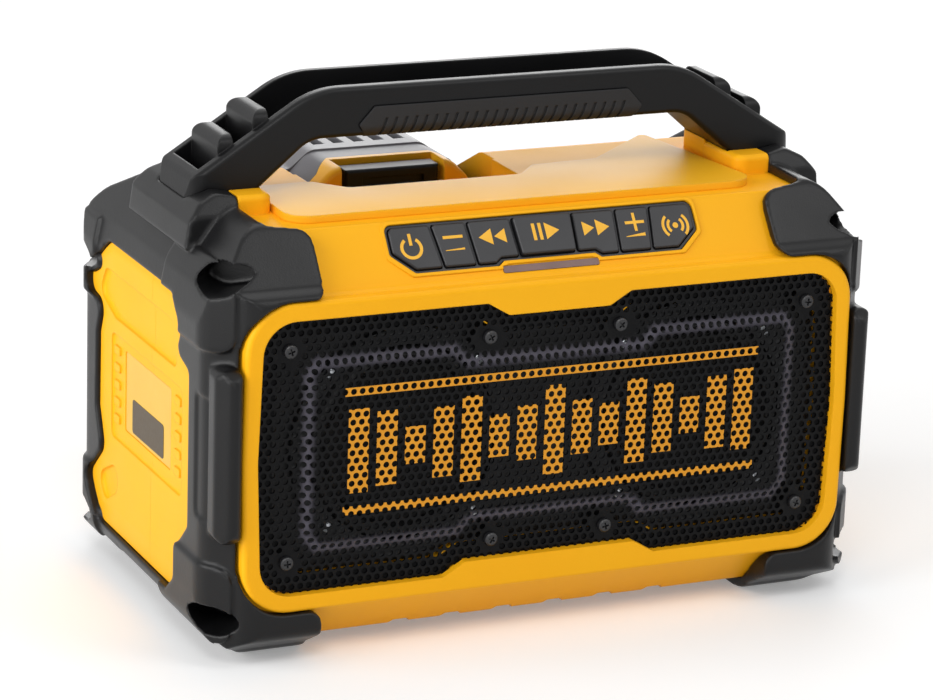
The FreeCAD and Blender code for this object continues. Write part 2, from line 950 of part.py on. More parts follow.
def make_front_housing():
    shell = case_shell.common(front_part)
    ridge = prism(ridge_corners(), "front", front - mm("ridge_height"), mm("ridge_back"))
    edges = [
        edge for edge in ridge.Edges
        if edge.BoundBox.YMax < front - mm("ridge_height") + 0.01
    ]
    ridge = ridge.makeFillet(1.8, edges)
    rim = slope_prism(panel_corners(mm("panel_rim")), 1.0, 0.6)
    posts = [post.common(case_outside) for post in rods(case_screw_spots(), 4.5, -36, parting)]
    scoop_wall = scoop_tool(mm("case_wall")).common(case_outside)
    cheeks = both_ends(leg_bosses(-33, parting, 7.3, -33))
    depth = mm("panel_depth")
    ledge = slope_solid(panel_corners(2), 1.0, depth + 1.5)
    middle = mm("panel_from_foot") + mm("panel_height") / 2 + 1
    stands = [
        slope_solid(
            box_corners(side * (mm("panel_half_width") + 5), middle, 5, 5),
            1.0, mm("key_board_depth") - 0.02,
        )
        for side in (-1, 1)
    ]
    shell = joined(shell, [ridge, rim, scoop_wall, ledge] + stands + posts + cheeks)
    step_front = front + mm("grille_thickness")
    step_back = mm("baffle_front") - 0.05
    mouth = prism(mouth_corners(), "front", front - 10, step_front)
    window = prism(mouth_corners(-mm("grille_step")), "front", front - 10, step_back + 5)
    chamber = prism(mouth_corners(mm("baffle_lap") + 0.3), "front", step_back, step_back + 10)
    panel_hole = slope_solid(panel_corners(0.15), -6, depth + 0.02)
    key_hole = slope_solid(panel_corners(-0.6), -6, 12)
    lens_hole = slope_prism(lens_corners(0.1), mm("lens_depth") + 1, 6)
    tools = [mouth, window, chamber, panel_hole, key_hole, lens_hole, scoop_tool()]
    tools += bottom_grooves()
    for room in eye_rooms:
        tools += both_ends(room)
    tools += rods(grille_spots(), 4.3, front, step_back + 5)
    tools += rods(case_screw_spots(), 1.5, -30, parting + 1)
    tools += uprights(handle_bolt_spots(), 2.3, top - wall - 2, top + 1)
    tools += baffle_screw_holes()
    shell = shell.cut(tools)
    return shell.common(front_part)


def baffle_screw_spots():
    """Screws that hold the baffle to the step round the mouth: x, z."""
    x = mouth_half - mm("grille_step") / 2
    return [(side * x, z) for side in (-1, 1) for z in (58.0, 100.0)]


def baffle_screw_holes():
    return rods(baffle_screw_spots(), 1.3, mm("baffle_front") - 3.2, mm("baffle_front") + 1)


feature("front_housing", make_front_housing())


# Rear moulding, with the battery bay

def bay_rails():
    """Tongues on the bay's side walls, which the pack slides on."""
    groove_y = mm("pack_front") + mm("rail_case_depth") / 2
    inner = mm("rail_case_width") / 2 - mm("rail_depth") + 0.5
    high = mm("rail_height") - 0.6
    rails = []
    for side in (-1, 1):
        edge = bay_left if side < 0 else bay_right
        tip = mm("pack_x") + side * inner
        low_x, high_x = sorted((edge, tip))
        rails.append(block(
            (low_x, groove_y - high / 2, bay_floor),
            (high_x, groove_y + high / 2, top - 22),
        ))
    return rails


def make_rear_housing():
    shell = case_shell.common(rear_part)
    skin = mm("bay_wall")
    liner = block(
        (bay_left - skin, bay_front - skin, bay_floor - skin),
        (bay_right + skin, rear + 10, top + 10),
    )
    liner = liner.fuse(scoop_tool(wall)).common(case_outside)
    tubes = [tube.common(case_outside) for tube in rods(case_screw_spots(), 5.0, parting, rear)]
    board_posts = rods(board_post_spots(), 3.5, bay_front - skin - mm("board_gap"), bay_front)
    cheeks = both_ends(leg_bosses(parting, 14, 10.3, 14))
    shell = joined(shell, [liner] + tubes + board_posts + cheeks)
    bay = block((bay_left, bay_front, bay_floor), (bay_right, rear + 20, top + 20))
    shell = shell.cut([bay, scoop_tool()])
    box, hollow = flap_recess()
    shell = joined(shell, bay_rails() + [box]).cut(hollow)
    tools = []
    for room in eye_rooms:
        tools += both_ends(room)
    tools += rods(case_screw_spots(), 1.9, parting - 1, rear)
    tools += rods(case_screw_spots(), 3.6, 14.0, rear + 10)
    tools += uprights(handle_bolt_spots(), 2.3, top - wall - 2, top + 1)
    tools += rods(board_post_spots(), 1.2, bay_front - skin - mm("board_gap") - 1, bay_front - 1.2)
    shell = shell.cut(tools)
    return shell.common(rear_part)


def board_post_spots():
    """Screws of the main board, on the bay's front wall: x, z."""
    x = mm("board_width") / 2 - 4
    z = mm("board_height") / 2 - 4
    return [
        (mm("pack_x") + side * x, mm("board_z") + rise * z)
        for side in (-1, 1) for rise in (-1, 1)
    ]


def flap_recess():
    """A shallow box in the back wall, which holds the sockets."""
    x = mm("flap_x")
    z = mm("flap_z")
    width = mm("flap_width")
    height = mm("flap_height")
    depth = mm("flap_well")
    outer = block(
        (x - width / 2 - 2, rear - depth - 2, z - height / 2 - 2),
        (x + width / 2 + 2, rear - 0.5, z + height / 2 + 2),
    )
    hole = block(
        (x - width / 2, rear - mm("flap_thickness") - 0.3, z - height / 2),
        (x + width / 2, rear + 5, z + height / 2),
    )
    well = block(
        (x - width / 2 + 4, rear - depth, z - height / 2 + 6),
        (x + width / 2 - 4, rear + 5, z + height / 2 - 3),
    )
    pin = Part.makeCylinder(
        mm("flap_pin_radius"), width + 3,
        Vector(x - width / 2 - 1.5, flap_pin_y, flap_pin_z), Vector(1, 0, 0),
    )
    return outer, hole.fuse([well, pin])


feature("rear_housing", make_rear_housing())


# Top tray

def tray_corners():
    width = mm("tray_half_width")
    near = mm("tray_front")
    far = mm("tray_rear")
    scoop = near + 33
    left = bay_left - 1.5
    right = bay_right + 1.5
    return [
        (-width, near, 9),
        (width, near, 9),
        (width - 10.5, far + 31.5, 2),
        (right + 31, far + 1, 5),
        (right + 4, far - 0.5, 3),
        (right - 6, scoop, 4),
        (left + 10, scoop, 5),
        (left, far, 2),
        (-width + 2, far, 1),
    ]


def make_tray():
    tray = prism(tray_corners(), "top", top, top + mm("tray_thickness"))
    room = block((leg_inner - 6.3, -33.3, top - 1), (half, 14.3, top + 20))
    return tray.cut(both_ends(room))


feature("top_tray", make_tray())


# Rubber ends

def bumper_shell():
    """The rubber skin of the right-hand end, with a raised pad round each eye."""
    inner = half - mm("pad_inset")
    corner = mm("pad_corner")
    lowest = (bottom + 5, bottom + 34)
    zones = []
    for near, far, bands in (
        (front - 10, -20, [lowest, (top - 38.5, top - 5)]),
        (rear - 26, rear + 10, [lowest, (top - 51, top - 20)]),
    ):
        for low, high in bands:
            outline = [
                (inner, low, corner), (half + 20, low, 0),
                (half + 20, high, 0), (inner, high, corner),
            ]
            zones.append(prism(outline, "front", near, far))
    raised = case_solid(pad).common(Part.makeCompound(zones))
    shape = case_solid(mm("bumper_wall")).fuse(raised)
    return joined(shape, [corner_lobe(front, 1), corner_lobe(rear, -1)])


def side_strip():
    """A shallow sunk panel on the side, beside the upright bar."""
    middle = (ridge_top + ridge_bottom) / 2 - 1
    low = middle - mm("strip_height") / 2
    high = middle + mm("strip_height") / 2
    near = front + 9
    far = near + mm("strip_width")
    zone = prism(
        [(near, low, 3), (far, low, 3), (far, high, 3), (near, high, 3)],
        "side", half - 15, half + 15,
    )
    return zone.cut(case_solid(mm("bumper_wall") - mm("strip_depth")))


def corner_lobe(edge, inward):
    """The thick lower corner under an eye, flat below where it stands as a foot."""
    skin = mm("bumper_wall")
    high = bottom + mm("lobe_height")
    lip = bottom + mm("lobe_lip")
    foot_end = edge + inward * mm("foot_end")
    along = prism(
        [
            (edge - inward * skin, high, 0),
            (edge - inward * skin, lip, 5),
            (edge + inward * mm("foot_start"), 0, 8),
            (foot_end, 0, 2),
            (foot_end + inward * 4, bottom + 4, 0),
            (foot_end + inward * 4, high, 0),
        ],
        "side", tongue_x, half + 10,
    )
    across = prism(
        [
            (tongue_x - 5, 0, 0),
            (half - mm("foot_side_inset"), 0, 8),
            (half + 2.5, lip, 6),
            (half + skin, bottom + 20, 8),
            (half + skin, high, 0),
            (tongue_x - 5, high, 0),
        ],
        "front", front - 20, rear + 20,
    )
    down = prism(plan_corners(), "top", -5, high + 5, skin)
    return along.common(across).common(down)


def socket_block():
    """The raised block that the handle leg plugs into."""
    high = top + mm("block_height")
    across = prism(
        [
            (block_inner, top - 10, 0),
            (half + 1, top - 10, 0),
            (half - 0.5, top, 2),
            (half - 5, top + 5.5, 3),
            (half - 12, high, 4),
            (block_inner, high - 1.5, 0),
        ],
        "front", mm("block_front") - 5, mm("block_rear") + 5,
    )
    along = prism(
        [
            (mm("block_front"), top - 12, 0),
            (mm("block_front"), top + 1.5, 2),
            (mm("block_front") + 5, high, 3),
            (mm("block_rear") - 5, high, 3),
            (mm("block_rear"), top + 1.5, 2),
            (mm("block_rear"), top - 12, 0),
        ],
        "side", half - 40, half + 10,
    )
    return across.common(along)


def front_bar():
    """The thick upright bar beside the grille."""
    outer = half + mm("bumper_wall")
    proud = front - mm("bumper_wall") - mm("bar_proud")
    middle = (ridge_top + ridge_bottom) / 2 + mm("bar_lift")
    low = middle - mm("bar_height") / 2
    high = middle + mm("bar_height") / 2
    across = prism(
        [
            (ridge_half + 0.5, front + 14, 0),
            (ridge_half + 0.5, proud + 2, 1),
            (ridge_half + 2.5, proud, 2),
            (outer - 4.5, proud, 3),
            (outer - 0.5, proud + 6.5, 3),
            (outer - 0.8, front + 8, 1),
            (outer - 5, front + 12, 0),
        ],
        "top", low, high,
    )
    face = prism(
        [
            (ridge_half + 0.5, low, 3),
            (outer, low, mm("bar_end_round")),
            (outer, high, mm("bar_end_round")),
            (ridge_half + 0.5, high, 3),
        ],
        "front", proud - 5, front + 20,
    )
    along = prism(
        [
            (front + 20, low, 0),
            (front - 1, low, 3),
            (proud, low + 4, 3),
            (proud, high - 4, 3),
            (front - 1, high, 3),
            (front + 20, high, 0),
        ],
        "side", ridge_half - 5, outer + 5,
    )
    return across.common(along).common(face)


def tongue_relief():
    """What the upper tongue leaves bare on the slope, past its rounded corner."""
    return slope_prism(
        [
            (tongue_x - 20, 5, 0),
            (tongue_x, 5, 0),
            (tongue_x, 22.6, 6.5),
            (tongue_x + 14, 25.0, 8),
            (block_inner - 0.5, 25.8, 0),
            (block_inner - 0.5, 45, 0),
            (tongue_x - 20, 45, 0),
        ],
        0.5, 12,
    )


def frame_opening(high, corner):
    """What the rubber end leaves bare in front and behind."""
    clearance = 0.3
    width = ridge_half + clearance
    return mirrored([
        (tongue_x, bottom - 30, 0),
        (tongue_x, ridge_bottom - clearance, mm("tongue_corner")),
        (width, ridge_bottom - clearance, corner),
        (width, high + clearance, corner),
        (tongue_x, high + clearance, mm("tongue_corner")),
        (tongue_x, top + 30, 0),
    ])


def make_bumper():
    shape = bumper_shell()
    corner = mm("ridge_corner")
    rear_edge = rear - 24
    opening = prism(frame_opening(ridge_top, corner), "front", front - 20, slope_head.y + 1.5)
    behind = prism(frame_opening(top - 40, corner), "front", rear_edge, rear + 20)
    middle = block((-half, slope_head.y + 1, bottom + 16), (block_inner, rear_edge + 0.5, top + 30))
    reach = mm("foot_end")
    under = block(
        (-half, front + reach + 2, bottom - 20), (tongue_x + 12, rear - reach - 2, bottom + 20)
    )
    window = window_prism()
    inner = block((-half - 20, -200, -50), (tongue_x - 2, 200, 300))
    shape = shape.cut([opening, behind, middle, under, inner, side_strip(), tongue_relief()])
    shape = shape.fuse([socket_block(), front_bar()])
    cheeks = leg_bosses(-33, 14, 10.3, -33)
    shape = shape.cut([case_outside, cheeks, window, leg_room])
    cups = [cup.common(case_solid(mm("bumper_wall") - 0.5)) for cup in eye_slots(mm("eye_wall"))]
    shape = joined(shape, cups).cut(eyes)
    return shape.cut(block((-300, -300, -50), (tongue_x, 300, 300)))


right_bumper = make_bumper()
feature("right_bumper", right_bumper)
feature("left_bumper", right_bumper.mirror(Vector(0, 0, 0), Vector(1, 0, 0)))


# Screws

def screw(head_radius, head_height, shank_radius, length, socket=0.0):
    """A screw along -Z, its head standing on the origin."""
    head_shape = Part.makeCylinder(head_radius, head_height)
    edges = [edge for edge in head_shape.Edges if edge.BoundBox.ZMin > head_height - 0.01]
    head_shape = head_shape.makeFillet(head_height * 0.4, edges)
    shank = Part.makeCylinder(shank_radius, length, Vector(0, 0, -length))
    shape = head_shape.fuse(shank)
    if socket:
        points = [
            Vector(socket * math.cos(math.radians(60 * step)),
                   socket * math.sin(math.radians(60 * step)), head_height * 0.4)
            for step in range(7)
        ]
        recess = Part.Face(Part.makePolygon(points)).extrude(Vector(0, 0, head_height))
        shape = shape.cut(recess)
    return shape.removeSplitter()


def screws(label, shape, spots, facing):
    """Copies of one screw, each head looking the same way."""
    turn = FreeCAD.Rotation(Vector(0, 0, 1), Vector(*facing))
    copies = []
    for spot in spots:
        copy = shape.copy()
        copy.Placement = FreeCAD.Placement(Vector(*spot), turn)
        copies.append(copy)
    obj = doc.addObject("Part::Feature", label)
    obj.Shape = Part.makeCompound(copies)
    return keep(obj, label)


# Grille plate, perforated and raised in the middle

def raised_points(inset, y):
    """The raised panel's outline, stepping in at the middle screws."""
    out = mouth_half - mm("grille_side_margin") - inset
    high = mouth_top - mm("grille_end_margin") - inset
    low = mouth_bottom + mm("grille_end_margin") + inset
    step = 5.0
    upper = mm("screw_upper_x") + 8 + inset * 0.6
    lower = mm("screw_lower_x") + 8 + inset * 0.6
    side = [
        (lower, low + step),
        (lower + 5, low),
        (out - 6, low),
        (out, low + 7),
        (out, high - 6),
        (out - 5, high),
        (upper + 5, high),
        (upper, high - step),
    ]
    loop = side + [(-x, z) for x, z in reversed(side)]
    return [Vector(x, y, z) for x, z in loop + loop[:1]]


def make_grille():
    thick = mm("grille_thickness")
    rise = mm("grille_emboss")
    slope = mm("grille_slope")
    plate = prism(mouth_corners(-0.3), "front", front, front + thick)
    outer = Part.makeLoft(
        [Part.makePolygon(raised_points(0, front)),
         Part.makePolygon(raised_points(slope, front - rise))],
        True, True,
    )
    inner = Part.makeLoft(
        [Part.makePolygon(raised_points(thick / 2, front + thick)),
         Part.makePolygon(raised_points(thick / 2 + slope, front + thick - rise))],
        True, True,
    )
    plate = plate.fuse(outer).cut(inner)
    pitch = mm("grille_pitch")
    radius = mm("grille_hole") / 2
    holes = []
    rows = int((mouth_top - mouth_bottom) / pitch / 2) + 1
    columns = int(mouth_half / pitch) + 1
    middle = (mouth_top + mouth_bottom) / 2
    for row in range(-rows, rows + 1):
        for column in range(-columns, columns + 1):
            x = (column + 0.5 * (row % 2)) * pitch
            z = middle + row * pitch * 0.866
            inside = abs(x) < mouth_half - 9 and mouth_bottom + 10 < z < mouth_top - 10
            near_screw = any(math.hypot(x - a, z - b) < radius + 5 for a, b in grille_spots())
            edge = mouth_half - mm("grille_side_margin")
            beside = edge - slope - radius < abs(x) < edge + radius
            high_slope = mouth_top - mm("grille_end_margin")
            low_slope = mouth_bottom + mm("grille_end_margin")
            above = z > high_slope - slope - radius - 5
            below = z < low_slope + slope + radius + 5
            if inside and not (near_screw or beside or above or below):
                points = [
                    Vector(x + radius * math.cos(math.radians(60 * step + 30)), front - 5,
                           z + radius * math.sin(math.radians(60 * step + 30)))
                    for step in range(7)
                ]
                holes.append(Part.Face(Part.makePolygon(points)).extrude(Vector(0, 10, 0)))
    holes += rods(grille_spots(), mm("screw_shank_radius") + 0.3, front - 5, front + 5)
    feature("grille", plate.cut(Part.makeCompound(holes)))


make_grille()
grille_screw = screw(
    mm("screw_head_radius"), mm("screw_head_height"), mm("screw_shank_radius"),
    mm("screw_length"), 1.2,
)
screws("grille_screws", grille_screw, [(x, front - 0.05, z) for x, z in grille_spots()], (0, -1, 0))


# Baffle, with posts for the grille's screws and two holes for the drivers

baffle_front = mm("baffle_front")
baffle_back = baffle_front + mm("baffle_thickness")


def driver_screw_spots():
    ring = mm("driver_screw_ring") * math.sqrt(0.5)
    return [
        (side * mm("driver_x") + a * ring, mm("driver_z") + b * ring)
        for side in (-1, 1) for a in (-1, 1) for b in (-1, 1)
    ]


def make_baffle():
    plate = prism(mouth_corners(mm("baffle_lap")), "front", baffle_front, baffle_back)
    posts = rods(grille_spots(), 4.0, front + mm("grille_thickness") + 0.05, baffle_back + 4)
    plate = joined(plate, posts)
    tools = rods(
        [(-mm("driver_x"), mm("driver_z")), (mm("driver_x"), mm("driver_z"))],
        mm("driver_hole"), baffle_front - 1, baffle_back + 1,
    )
    tools += rods(grille_spots(), mm("screw_shank_radius") + 0.3, front - 5, front + 11)
    tools += rods(driver_screw_spots(), 1.2, baffle_front - 1, baffle_front + 4.5)
    tools += rods(baffle_screw_spots(), 1.5, baffle_front - 1, baffle_back + 5)
    feature("baffle", plate.cut(tools))


make_baffle()
screws(
    "baffle_screws", screw(2.4, 1.4, 1.0, 7.5),
    [(x, baffle_back + 0.05, z) for x, z in baffle_screw_spots()], (0, 1, 0),
)
screws(
    "driver_screws", screw(1.9, 1.2, 0.9, 6.0),
    [(x, baffle_front - mm("driver_flange") - 0.1, z) for x, z in driver_screw_spots()],
    (0, -1, 0),
)


# Drivers: rings and discs turned about their own axis, which looks forwards

def screw_holes(body):
    """Four holes through the basket's flange, round the driver's axis."""
    reach = "Sizes.driver_screw_ring * sqrt(0.5) * 1 mm"
    sketch = sketched(body, "XY_Plane", [
        (f"{reach} - 1.2 mm", f"{reach} - 1.2 mm"),
        (f"{reach} + 1.2 mm", f"{reach} - 1.2 mm"),
        (f"{reach} + 1.2 mm", f"{reach} + 1.2 mm"),
        (f"{reach} - 1.2 mm", f"{reach} + 1.2 mm"),
    ])
    hole = pocketed(body, sketch, "(Sizes.driver_flange + 1) * 1 mm", True)
    pattern = body.newObject("PartDesign::PolarPattern", "HoleRing")
    pattern.Originals = [hole]
    pattern.Axis = (sketch, ["N_Axis"])
    pattern.Angle = 360
    pattern.Occurrences = 4
    body.Tip = pattern
    doc.recompute()


def driver_body(label, side, corners, lift):
    body = new_body(label)
    turned(body, corners)
    body.Placement = FreeCAD.Placement(Vector(), FreeCAD.Rotation(Vector(1, 0, 0), 90))
    sign = "-" if side < 0 else ""
    place(
        body, f"{sign}Sizes.driver_x * 1 mm",
        f"(Sizes.baffle_front - {lift}) * 1 mm", "Sizes.driver_z * 1 mm",
    )
    return body


def radius_mm(text, shift=0.0):
    return f"(Sizes.{text} + {shift}) * 1 mm"


for side_name, side in (("left", -1), ("right", 1)):
    basket = driver_body(f"{side_name}_driver_basket", side, [
        (radius_mm("driver_radius"), "0 mm"),
        (radius_mm("driver_radius"), "Sizes.driver_flange * 1 mm"),
        (radius_mm("surround_radius", 0.4), "Sizes.driver_flange * 1 mm"),
        (radius_mm("surround_radius", 0.4), "0.5 mm"),
        (radius_mm("magnet_radius", -3.5), "-18 mm"),
        ("13 mm", "-18 mm"),
        ("13 mm", "-20 mm"),
        (radius_mm("magnet_radius", -1.5), "-20 mm"),
        (radius_mm("driver_hole", -0.8), "-0.5 mm"),
        (radius_mm("driver_hole", -0.8), "0 mm"),
    ], 0.05)
    screw_holes(basket)
    driver_body(f"{side_name}_driver_magnet", side, [
        ("5 mm", "-20.05 mm"),
        (radius_mm("magnet_radius"), "-20.05 mm"),
        (radius_mm("magnet_radius"), "-Sizes.magnet_depth * 1 mm"),
        ("5 mm", "-Sizes.magnet_depth * 1 mm"),
    ], 0.05)
    driver_body(f"{side_name}_driver_surround", side, [
        (radius_mm("surround_radius"), "1 mm"),
        (radius_mm("surround_radius"), "1.9 mm"),
        (radius_mm("surround_radius", -1.0), "3.6 mm"),
        (radius_mm("surround_radius", -3.0), "4.4 mm"),
        (radius_mm("cone_radius", 1.3), "3.6 mm"),
        (radius_mm("cone_radius", 0.3), "1.9 mm"),
        (radius_mm("cone_radius", 0.3), "1 mm"),
        (radius_mm("cone_radius", 1.1), "1 mm"),
        (radius_mm("cone_radius", 2.0), "2.9 mm"),
        (radius_mm("surround_radius", -3.0), "3.6 mm"),
        (radius_mm("surround_radius", -1.7), "2.9 mm"),
        (radius_mm("surround_radius", -0.8), "1 mm"),
    ], 0.05)
    driver_body(f"{side_name}_driver_cone", side, [
        (radius_mm("cone_radius"), "1 mm"),
        (radius_mm("cone_radius"), "1.9 mm"),
        ("10 mm", "(1.9 - Sizes.cone_depth) * 1 mm"),
        ("10 mm", "(-6.4 - Sizes.cone_depth) * 1 mm"),
        ("11 mm", "(-6.4 - Sizes.cone_depth) * 1 mm"),
        ("11 mm", "(1.2 - Sizes.cone_depth) * 1 mm"),
    ], 0.05)
    driver_body(f"{side_name}_driver_dust_cap", side, [
        ("0 mm", "(5 - Sizes.cone_depth) * 1 mm"),
        ("0 mm", "(5.8 - Sizes.cone_depth) * 1 mm"),
        ("6.5 mm", "(5 - Sizes.cone_depth) * 1 mm"),
        (radius_mm("dust_cap_radius"), "(3.3 - Sizes.cone_depth) * 1 mm"),
        (radius_mm("dust_cap_radius", -1.0), "(2.7 - Sizes.cone_depth) * 1 mm"),
    ], 0.05)


# Control panel on the slope

def on_slope(obj, depth):
    """Put a body's XY plane on the slope, sunk by a depth."""
    turn = FreeCAD.Rotation(Vector(1, 0, 0), slope_angle)
    obj.Placement = FreeCAD.Placement(slope_foot - slope_out * depth, turn)


def key_columns():
    """Slanted edges between the keys: x at the lower and the upper edge."""
    return [(-61.3, -61.3), (-41.5, -43.6), (-28.4, -29.6), (-11.2, -12.0),
            (11.2, 12.0), (28.4, 29.6), (41.5, 43.6), (61.3, 61.3)]


def key_corners(number, grow=0.0):
    """One key's outline in the slope's u and v; number 0 is the left one."""
    columns = key_columns()
    gap = mm("key_gap") + mm("key_web") / 2 - grow
    rim = 1.0 + mm("key_gap") - grow
    low = mm("panel_from_foot") + rim
    high = mm("panel_from_foot") + mm("panel_height") - rim
    notch = mm("panel_from_foot") + 1.8 + rim
    left_low, left_high = columns[number]
    right_low, right_high = columns[number + 1]
    width = mm("panel_half_width") - rim
    if number == 0:
        return [
            (right_low - gap, low, 1),
            (right_high - gap, high, 1),
            (-width, high, 2),
            (-width, low + 6.9, 1.5),
            (-width + 7.9, low, 1.5),
        ]
    if number == 6:
        return [(-u, v, radius) for u, v, radius in reversed(key_corners(0, grow))]
    foot = notch if number == 3 else low
    if number == 2:
        return [
            (right_low - gap, notch, 1),
            (right_high - gap, high, 1),
            (left_high + gap, high, 1),
            (left_low + gap, low, 1),
            (-mm("lens_half_length") - 2.2, low, 0.5),
            (-mm("lens_half_length") + 0.2, notch, 0.5),
        ]
    if number == 4:
        return [(-u, v, radius) for u, v, radius in reversed(key_corners(2, grow))]
    return [
        (right_low - gap, foot, 1),
        (right_high - gap, high, 1),
        (left_high + gap, high, 1),
        (left_low + gap, foot, 1),
    ]


def key_middle(number):
    columns = key_columns()
    u = sum(columns[number] + columns[number + 1]) / 4
    v = mm("panel_from_foot") + mm("panel_height") / 2
    return u, v


def switch_spot(number):
    """Where a key presses its switch."""
    u, v = key_middle(number)
    if number in (0, 6):
        return math.copysign(mm("outer_switch_u"), u), v
    return u, v


def flange_middle(number):
    """Where a key's flange hooks under the frame, clear of the frame's slanted ends."""
    u = key_middle(number)[0]
    if number in (0, 6):
        return math.copysign(mm("outer_flange_u"), u)
    if number in (2, 4):
        return math.copysign(mm("inner_flange_u"), u)
    return u


KEYS = [
    "power_key", "volume_down_key", "rewind_key", "play_key",
    "forward_key", "volume_up_key", "wireless_key",
]


def make_panel():
    depth = mm("panel_depth")
    board = mm("key_board_depth")
    frame = slope_solid(panel_corners(), 0.3, depth)
    holes = [
        slope_solid(key_corners(number, mm("key_gap")), -3, depth + 1) for number in range(7)
    ]
    feature("keypad_frame", frame.cut(holes))
    travel = mm("key_travel")
    switch_top = depth + 1.2 + travel + 0.6
    for number, label in enumerate(KEYS):
        rise = mm("key_rise_middle") if number == 3 else mm("key_rise")
        cap = slope_solid(key_corners(number), -rise, depth + 0.05)
        top_edges = [
            edge for edge in cap.Edges
            if all(
                abs((vertex.Point - slope_foot).dot(slope_out) - rise) < 0.01
                for vertex in edge.Vertexes
            )
        ]
        cap = cap.makeChamfer(0.45, top_edges)
        corners = key_corners(number)
        u, v = switch_spot(number)
        low = min(corner[1] for corner in corners) - 0.5
        high = max(corner[1] for corner in corners) + 0.5
        flange = slope_solid(
            box_corners(flange_middle(number), (low + high) / 2, 6.0, high - low),
            depth + 0.05, depth + 1.0,
        )
        stem = slope_solid(box_corners(u, v, 3, 3), depth + 0.9, switch_top - travel - 0.1)
        feature(label, joined(cap, [flange, stem]))
    switches = []
    for number in range(7):
        u, v = switch_spot(number)
        size = mm("switch_size")
        body = slope_solid(box_corners(u, v, size, size), switch_top + 0.8, board - 0.02)
        button = slope_solid(box_corners(u, v, 3, 3), switch_top, switch_top + 0.9)
        switches.append(body.fuse(button))
    obj = doc.addObject("Part::Feature", "key_switches")
    obj.Shape = Part.makeCompound(switches)
    keep(obj, "key_switches")
    feature("status_lens", slope_solid(lens_corners(), -0.2, mm("lens_depth")))


make_panel()


def make_key_board():
    board = new_body("key_board")
    width = "(Sizes.panel_half_width + 8) * 1 mm"
    sketch = sketched(board, "XY_Plane", [
        (f"-{width}", "(Sizes.panel_from_foot + 4) * 1 mm"),
        (width, "(Sizes.panel_from_foot + 4) * 1 mm"),
        (width, "(Sizes.panel_from_foot + Sizes.panel_height - 2) * 1 mm"),
        (f"-{width}", "(Sizes.panel_from_foot + Sizes.panel_height - 2) * 1 mm"),
    ])
    padded(board, sketch, "Sizes.board_thickness * 1 mm")
    on_slope(board, mm("key_board_depth") + mm("board_thickness"))


make_key_board()


# Battery pack

def pack_spot(x, y, z):
    return Vector(mm("pack_x") + x, mm("pack_front") + y, pack_bottom + z)


def pack_block(low, high):
    """A box in the pack's own frame: x from its middle, y from its front, z from its base."""
    return block(pack_spot(*low), pack_spot(*high))


def centred(corners):
    """Outline corners in the pack's frame, drawn in the front view."""
    return [(mm("pack_x") + x, pack_bottom + z, radius) for x, z, radius in mirrored(corners)]


def make_front_shell():
    width = mm("rail_case_width") / 2
    deep = mm("rail_case_depth") + 1.0
    long = mm("pack_length")
    skin = mm("shell_wall")
    near = mm("pack_front")
    shape = prism(centred([
        (width, 0, 3), (width, long - 15, 6), (width - 5, long - 7, 4), (width - 12, long, 9),
    ]), "front", near, near + deep)
    edges = [
        edge for edge in shape.Edges
        if edge.BoundBox.YMax < near + 0.01 and edge.BoundBox.ZMax > pack_bottom + 20
    ]
    shape = shape.makeFillet(2.5, edges)
    groove = mm("rail_depth")
    middle = mm("rail_case_depth") / 2
    narrow = width - groove - skin
    cells = mm("cell_length") / 2 + 0.3
    cavity = pack_block((-narrow, skin, skin), (narrow, middle + 5, long - 8))
    cavity = cavity.fuse(pack_block(
        (-cells, middle + 5, skin), (cells, deep + 1, long - 16)
    ))
    terminal = mm("terminal_width") / 2
    room = (terminal + 2, mm("terminal_depth") + 2.5, mm("terminal_height") + 5)
    cavity = cavity.cut(pack_block(
        (-room[0] - skin, -1, -1), (room[0] + skin, room[1] + skin, room[2] + skin)
    ))
    recess = mm("button_width") / 2 + 2
    pocket_top = long + 1
    pocket_low = long - mm("button_height") - 2.5
    cavity = cavity.cut(pack_block(
        (-recess - skin, -1, pocket_low - skin), (recess + skin, 13 + skin, long + 1)
    ))
    shape = shape.cut(cavity)
    tools = [
        pack_block((-room[0], -1, -1), room),
        pack_block((-recess, -1, pocket_low), (recess, 13, pocket_top)),
    ]
    rail = mm("rail_height") / 2
    for side in (-1, 1):
        low_x, high_x = sorted((side * (width - groove), side * (width + 2)))
        tools.append(pack_block(
            (low_x, middle - rail, -1), (high_x, middle + rail, long - 20)
        ))
    for step in (-1, 0, 1):
        x = step * mm("blade_pitch")
        tools.append(pack_block((x - 0.75, 2, room[2] - 1), (x + 0.75, 12.5, room[2] + skin + 1)))
    tools += rods(pack_screw_spots(), 1.0, near + deep - 8, near + deep + 1)
    shape = shape.cut(tools[:2]).cut(tools[2:])
    feature("battery_front_shell", shape)


def pack_screw_spots():
    x = (mm("rail_case_width") - mm("shell_wall")) / 2
    return [
        (mm("pack_x") + side * x, pack_bottom + z)
        for side in (-1, 1) for z in (8.0, mm("pack_length") - 22)
    ]


